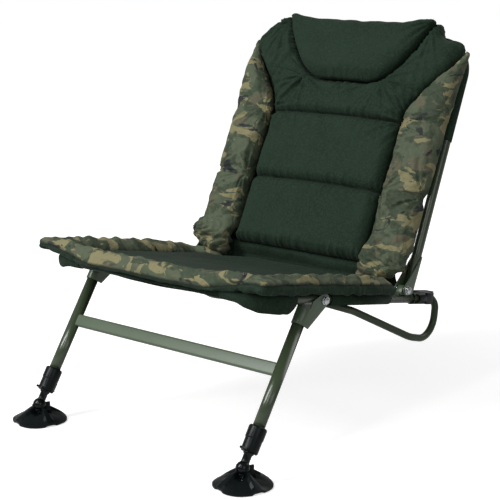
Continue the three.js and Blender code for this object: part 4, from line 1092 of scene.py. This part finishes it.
class CHAIR_OT_back_cover(bpy.types.Operator):
    """Makes the rear panel of the backrest, the sleeve over its top and the gusset below it"""

    bl_idname = "chair.back_cover"
    bl_label = "Back Cover"

    def execute(self, context):
        sizes = context.scene.chair.tubes
        green = bpy.data.materials["brushed_green_microfibre"]
        radius = sizes.tube / 2 / MM + 1.4
        panel = cloth_panel("rear_panel", BACK, 60, 60, back_sling_point, green)
        finish_piece(panel, "backrest", "cloth_green", "back_sling")
        half = sizes.spacing / 2 / MM
        hem = 305
        wide = half - BACK_TAPER * (hem - BACK_WAIST) / (BACK_TOP - BACK_WAIST)
        route = mirrored([(wide, 0, hem), (half - BACK_TAPER, 0, BACK_TOP)])
        bends = [BACK_BEND] * 2
        top = bent_tube("top_sleeve", BACK_TUBE, route, bends, radius, 40, green, 1.0, 24, 16)
        finish_piece(top, "backrest", "cloth_green", "back_tunnel")
        gusset = cloth_panel("hinge_cloth", SEAT, 90, 16, gusset_point, green, 1.0)
        # Painted shadow on the gusset in the hollow behind the seat's rear edge, stored in the seam
        # attribute.
        marked(gusset, SEAT, "seam", lambda p: gusset_hollow(p.x) * bump_at(p.z, 20, 5))
        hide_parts("hinge_gusset")
        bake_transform(gusset)
        return {"FINISHED"}


# Steel and plastic


def dressed(node, material, bevel=0.0):
    """Gives a CAD node a finish, and rounds its edges with modifiers."""
    piece = frame["nodes"][node]
    piece.data.materials.clear()
    piece.data.materials.append(material)
    weld = piece.modifiers.new("weld", "WELD")
    weld.merge_threshold = 0.00002
    if bevel:
        round_edges(piece, bevel, 30, False)
    shade_smooth(piece.data)
    split = piece.modifiers.new("edges", "EDGE_SPLIT")
    split.split_angle = radians(40)


class CHAIR_OT_tubes(bpy.types.Operator):
    """Makes the bent tubes of the seat, the back, the legs and the rear bar"""

    bl_idname = "chair.tubes"
    bl_label = "Bent Tubes"

    def execute(self, context):
        sizes = context.scene.chair.tubes
        colours = context.scene.chair.colours
        paint = powder_coated_steel("powder_coated_steel_tube", colours.tube, 0.24)
        # Lighter copy of the tube paint for sheet metal: painted light on the flat faces of the
        # brackets and crossbar.
        powder_coated_steel("powder_coated_steel_sheet_painted_light", colours.sheet, 0.34)
        half = sizes.spacing / 2 / MM
        r = sizes.tube / 2 / MM
        route = mirrored([(half, RAIL_REAR, 0), (half, RAIL_FRONT, 0)])
        seat = bent_tube("seat_tube", SEAT, route, [RAIL_BEND] * 2, r, sizes.sides, paint)
        finish_piece(seat, "seat", "frame_paint", "seat_frame")
        side = [(half, BACK_FOOT), (half, BACK_WAIST), (half - BACK_TAPER, BACK_TOP)]
        route = mirrored([(x, 0, z) for x, z in side])
        bends = [180, BACK_BEND, BACK_BEND, 180]
        back = bent_tube("back_tube", BACK_TUBE, route, bends, r, sizes.sides, paint)
        finish_piece(back, "backrest", "frame_paint", "back_frame")
        dull = powder_coated_steel("powder_coated_steel_bar", colours.tube, 0.3, 0.25)
        wide = half - 22
        rear = wide + 20
        side = [(14, -5), (140, -27), (310, -77), (390, -84), (386, 0)]
        xs = [wide, wide, rear, rear, rear]
        route = mirrored([(x, y, z) for x, (y, z) in zip(xs, side)])
        bends = [150, 120, 42, 22, 22, 42, 120, 150]
        thin = sizes.bar / 2 / MM
        bar = bent_tube("rear_stand", SEAT, route, bends, thin, sizes.sides, dull, 1.5)
        hole, rim, width = 4.2, 10, 4
        for _, sign in SIDES:
            eye = bmesh.new()
            bmesh.ops.create_circle(eye, cap_ends=False, radius=hole, segments=40)
            grown = bmesh.ops.extrude_edge_only(eye, edges=eye.edges[:])["geom"]
            outer = [g for g in grown if isinstance(g, bmesh.types.BMVert)]
            bmesh.ops.scale(eye, vec=(rim / hole, rim / hole, 1), verts=outer)
            bmesh.ops.solidify(eye, geom=eye.faces[:], thickness=width)
            bmesh.ops.recalc_face_normals(eye, faces=eye.faces[:])
            turn = Matrix.Rotation(radians(90 * sign), 4, "Y")
            inward = Matrix.Translation(((wide + 3) * sign, 0, 0)) @ turn
            placed(eye, SEAT @ inward)
            merge_into(bar, eye)
        finish_piece(bar, "rear_bar", "frame_paint", "rear_bar")
        route = [(0, 0, z) for z in (LEG_FOOT, -150, LEG_HEAD)]
        radius = sizes.leg / 2 / MM
        wall = sizes.wall / MM
        for name, sign in SIDES:
            label = f"upper_leg_{name}"
            upright = LEGS @ Matrix.Translation((half * sign, LEG_SETBACK, 0))
            leg = bent_tube(label, upright, route, [LEG_BEND], radius, 40, paint, wall, 2)
            finish_piece(leg, "front_legs", "frame_paint", f"leg_tube_{name}")
        return {"FINISHED"}


class CHAIR_OT_fittings(bpy.types.Operator):
    """Finishes the brackets, ears, bolts, clips, collars, levers and studs"""

    bl_idname = "chair.fittings"
    bl_label = "Fittings"

    def execute(self, context):
        # Sheet paint carries painted light on the flat faces of the brackets and crossbar.
        sheet = bpy.data.materials["powder_coated_steel_sheet_painted_light"]
        paint = bpy.data.materials["powder_coated_steel_tube"]
        zinc = zinc_plated_steel()
        nylon = moulded_nylon()
        acetal = polished_acetal()
        dressed("leg_crossbar", sheet)
        for name, _ in SIDES:
            for part in ("leg_bracket", "back_bracket", "back_ear"):
                dressed(f"{part}_{name}", sheet, 0.4)
            for part in ("leg_bolt", "back_bolt"):
                dressed(f"{part}_{name}", zinc, 0.5)
            dressed(f"lever_pin_{name}", zinc)
            dressed(f"rail_clip_{name}", nylon, 1.2)
            dressed(f"leg_collar_{name}", nylon, 0.5)
            dressed(f"lock_lever_{name}", nylon, 0.3)
            dressed(f"inner_leg_{name}", paint)
            dressed(f"ball_stud_{name}", acetal)
        return {"FINISHED"}


# Mud feet: four flat petals with raised pleats between them, and an open cup for the ball

PETAL_ANGLES = (-30, -20, -10, 0, 10, 20, 30, 37, 45, 53)
PETAL_KINDS = (1, 0.6, 0.2, 0, 0.2, 0.6, 1, 2, 2.1, 2)
PETAL_TURN = -60
CUP_RADIUS = 14.7
BALL_HEIGHT = 32
PETAL_ROWS = (
    ((3, 11), (3, 11), (3, 12)),
    ((13, 15), (12.5, 18), (13.5, 28.5)),
    ((23, 15.5), (22, 19), (22, 25.5)),
    ((34, 12.5), (33, 15), (32, 19.5)),
    ((45, 8), (43, 10), (42, 13)),
    ((53, 4.2), (51, 5.2), (49, 7.5)),
    ((53, 1.4), (51, 1.8), (49, 3.5)),
    ((51, 0.4), (49, 0.4), (47, 2.0)),
)


def foot_column(u):
    turn, part = divmod(round((u + 1) * 20), 10)
    return radians(turn * 90 + PETAL_ANGLES[part] + PETAL_TURN), PETAL_KINDS[part]


def petal_point(u, v):
    angle, kind = foot_column(u)
    centre, edge, pleat = PETAL_ROWS[round(v * 7)]
    low, high, share = (centre, edge, kind) if kind <= 1 else (edge, pleat, kind - 1)
    radius, height = mix(low[0], high[0], share), mix(low[1], high[1], share)
    return Vector((radius * cos(angle), radius * sin(angle), height))


def cup_point(u, v):
    """Ball cup, open between the pleats that hold it."""
    angle, kind = foot_column(u)
    polar = radians(mix(4, mix(58, 100, clamp(kind - 0.7)), v))
    radius = CUP_RADIUS * sin(polar)
    height = BALL_HEIGHT - CUP_RADIUS * cos(polar)
    return Vector((radius * cos(angle), radius * sin(angle), height))


class CHAIR_OT_feet(bpy.types.Operator):
    """Makes the two mud feet"""

    bl_idname = "chair.feet"
    bl_label = "Mud Feet"

    def execute(self, context):
        nylon = bpy.data.materials["moulded_black_nylon"]
        for name, _ in SIDES:
            spot = Vector(JOINTS[f"foot_tilt_{name}"]["pos_m"])
            spot.z = 0
            level = Matrix.Translation(spot) @ Matrix.Scale(MM, 4)
            foot = cloth_panel(f"petal_foot_{name}", level, 40, 7, petal_point, nylon, 2.4)
            cup = cloth_panel("cup", level, 40, 8, cup_point, nylon, 2.2)
            tab = chamfered_box((-3.5, -2, 22), (3.5, 2, 35), 0.7)
            lean = Matrix.Rotation(radians(70), 4, "Z") @ Matrix.Translation((18, 0, 0))
            placed(tab, level @ lean)
            merge_into(foot, tab)
            shell = bmesh.new()
            shell.from_mesh(cup.data)
            bpy.data.objects.remove(cup)
            merge_into(foot, shell)
            round_edges(foot, 0.7, 14, True)
            finish_piece(foot, f"foot_{name}", "black_plastic", f"mud_foot_{name}")
        return {"FINISHED"}


# Stage


class CHAIR_OT_stage(bpy.types.Operator):
    """Sets the pale floor, the soft lamps and the camera"""

    bl_idname = "chair.stage"
    bl_label = "Stage"

    def execute(self, context):
        scene = context.scene
        scene.view_settings.view_transform = "Standard"
        camera = bpy.data.objects.new("camera", bpy.data.cameras.new("camera"))
        scene.collection.objects.link(camera)
        camera.data.lens = 101.63
        camera.data.sensor_width = 36
        camera.location = Vector((1.7436, -1.9113, 0.6138)) + LEG_PIVOT
        camera.rotation_euler = Euler((radians(90 - 12.26116), 0, radians(40.69665)))
        camera.data.clip_end = 50
        scene.camera = camera
        material, node, place = new_material("pale_floor")
        view = node("ShaderNodeLightPath", output="Is Camera Ray")
        rays = {0: view.node.outputs["Is Glossy Ray"], 1: 0.4, 2: view}
        seen = node("ShaderNodeMath", rays, operation="MULTIPLY_ADD")
        pale = node("ShaderNodeBsdfDiffuse", {"Color": (0.8, 0.8, 0.8, 1)})
        dull = node("ShaderNodeBsdfDiffuse", {"Color": (0.3, 0.3, 0.3, 1)})
        away = node("ShaderNodeVectorMath", {0: place}, "Value", operation="LENGTH")
        span = {"Value": away, "From Min": 0.6, "From Max": 2.5, "To Min": 0.62, "To Max": 0.85}
        level = node("ShaderNodeMapRange", span)
        glow = node("ShaderNodeEmission", {"Color": (1, 1, 1, 1), "Strength": level})
        both = node("ShaderNodeAddShader", {0: pale, 1: glow})
        pick = node("ShaderNodeMixShader", {0: seen, 1: dull, 2: both})
        node("ShaderNodeOutputMaterial", {"Surface": pick})
        bm = bmesh.new()
        bmesh.ops.create_circle(bm, cap_ends=True, radius=14, segments=64)
        floor = object_from(bm, "floor", material, False)
        world = bpy.data.worlds.new("studio")
        world.use_nodes = True
        scene.world = world
        world.node_tree.nodes.clear()
        node = partial(add_node, world.node_tree)
        view = node("ShaderNodeLightPath", output="Is Camera Ray")
        rays = {0: view, 1: view.node.outputs["Is Transmission Ray"]}
        seen = node("ShaderNodeMath", rays, operation="MAXIMUM")
        level = node("ShaderNodeMapRange", {"Value": seen, "To Min": 0.22, "To Max": 1.0})
        sky = node("ShaderNodeBackground", {"Color": (1, 1, 1, 1), "Strength": level})
        node("ShaderNodeOutputWorld", {"Surface": sky})
        lamps = (
            ("key", (-1.3, -2.4, 2.5), 98, 1.0, 2.4),
            ("strip", (0.5, -2.5, 2.1), 14, 0.25, 1.6),
            ("fill", (2.8, -1.4, 1.6), 12, 1.6, 1.6),
            ("rim", (0.8, 2.6, 2.4), 26, 2.0, 2.0),
        )
        target = Vector((0, 0, 0.35))
        for name, spot, power, size, height in lamps:
            data = bpy.data.lights.new(name, "AREA")
            data.shape = "RECTANGLE"
            data.energy = power
            data.size = size
            data.size_y = height
            lamp = bpy.data.objects.new(name, data)
            lamp.location = spot
            aim = target - lamp.location
            lamp.rotation_euler = aim.to_track_quat("-Z", "Y").to_euler()
            scene.collection.objects.link(lamp)
        return {"FINISHED"}


STEPS = (
    CHAIR_OT_stage,
    CHAIR_OT_tubes,
    CHAIR_OT_fittings,
    CHAIR_OT_feet,
    CHAIR_OT_seat,
    CHAIR_OT_back_padding,
    CHAIR_OT_headrest,
    CHAIR_OT_covers,
    CHAIR_OT_back_cover,
)


class CHAIR_PT_panel(bpy.types.Panel):
    """Lists the steps that build the chair"""

    bl_label = "Fishing Chair"
    bl_idname = "CHAIR_PT_panel"
    bl_space_type = "VIEW_3D"
    bl_region_type = "UI"
    bl_category = "Chair"

    def draw(self, context):
        for step in STEPS:
            self.layout.operator(step.bl_idname)


CLASSES = (TubeSizes, SoftSizes, Colours, ChairSettings, *STEPS, CHAIR_PT_panel)


def register():
    for cls in CLASSES:
        bpy.utils.register_class(cls)
    bpy.types.Scene.chair = PointerProperty(type=ChairSettings)


def unregister():
    del bpy.types.Scene.chair
    for cls in reversed(CLASSES):
        bpy.utils.unregister_class(cls)


def main():
    register()
    for step in STEPS:
        group, name = step.bl_idname.split(".")
        getattr(getattr(bpy.ops, group), name)()


if __name__ == "__main__":
    main()
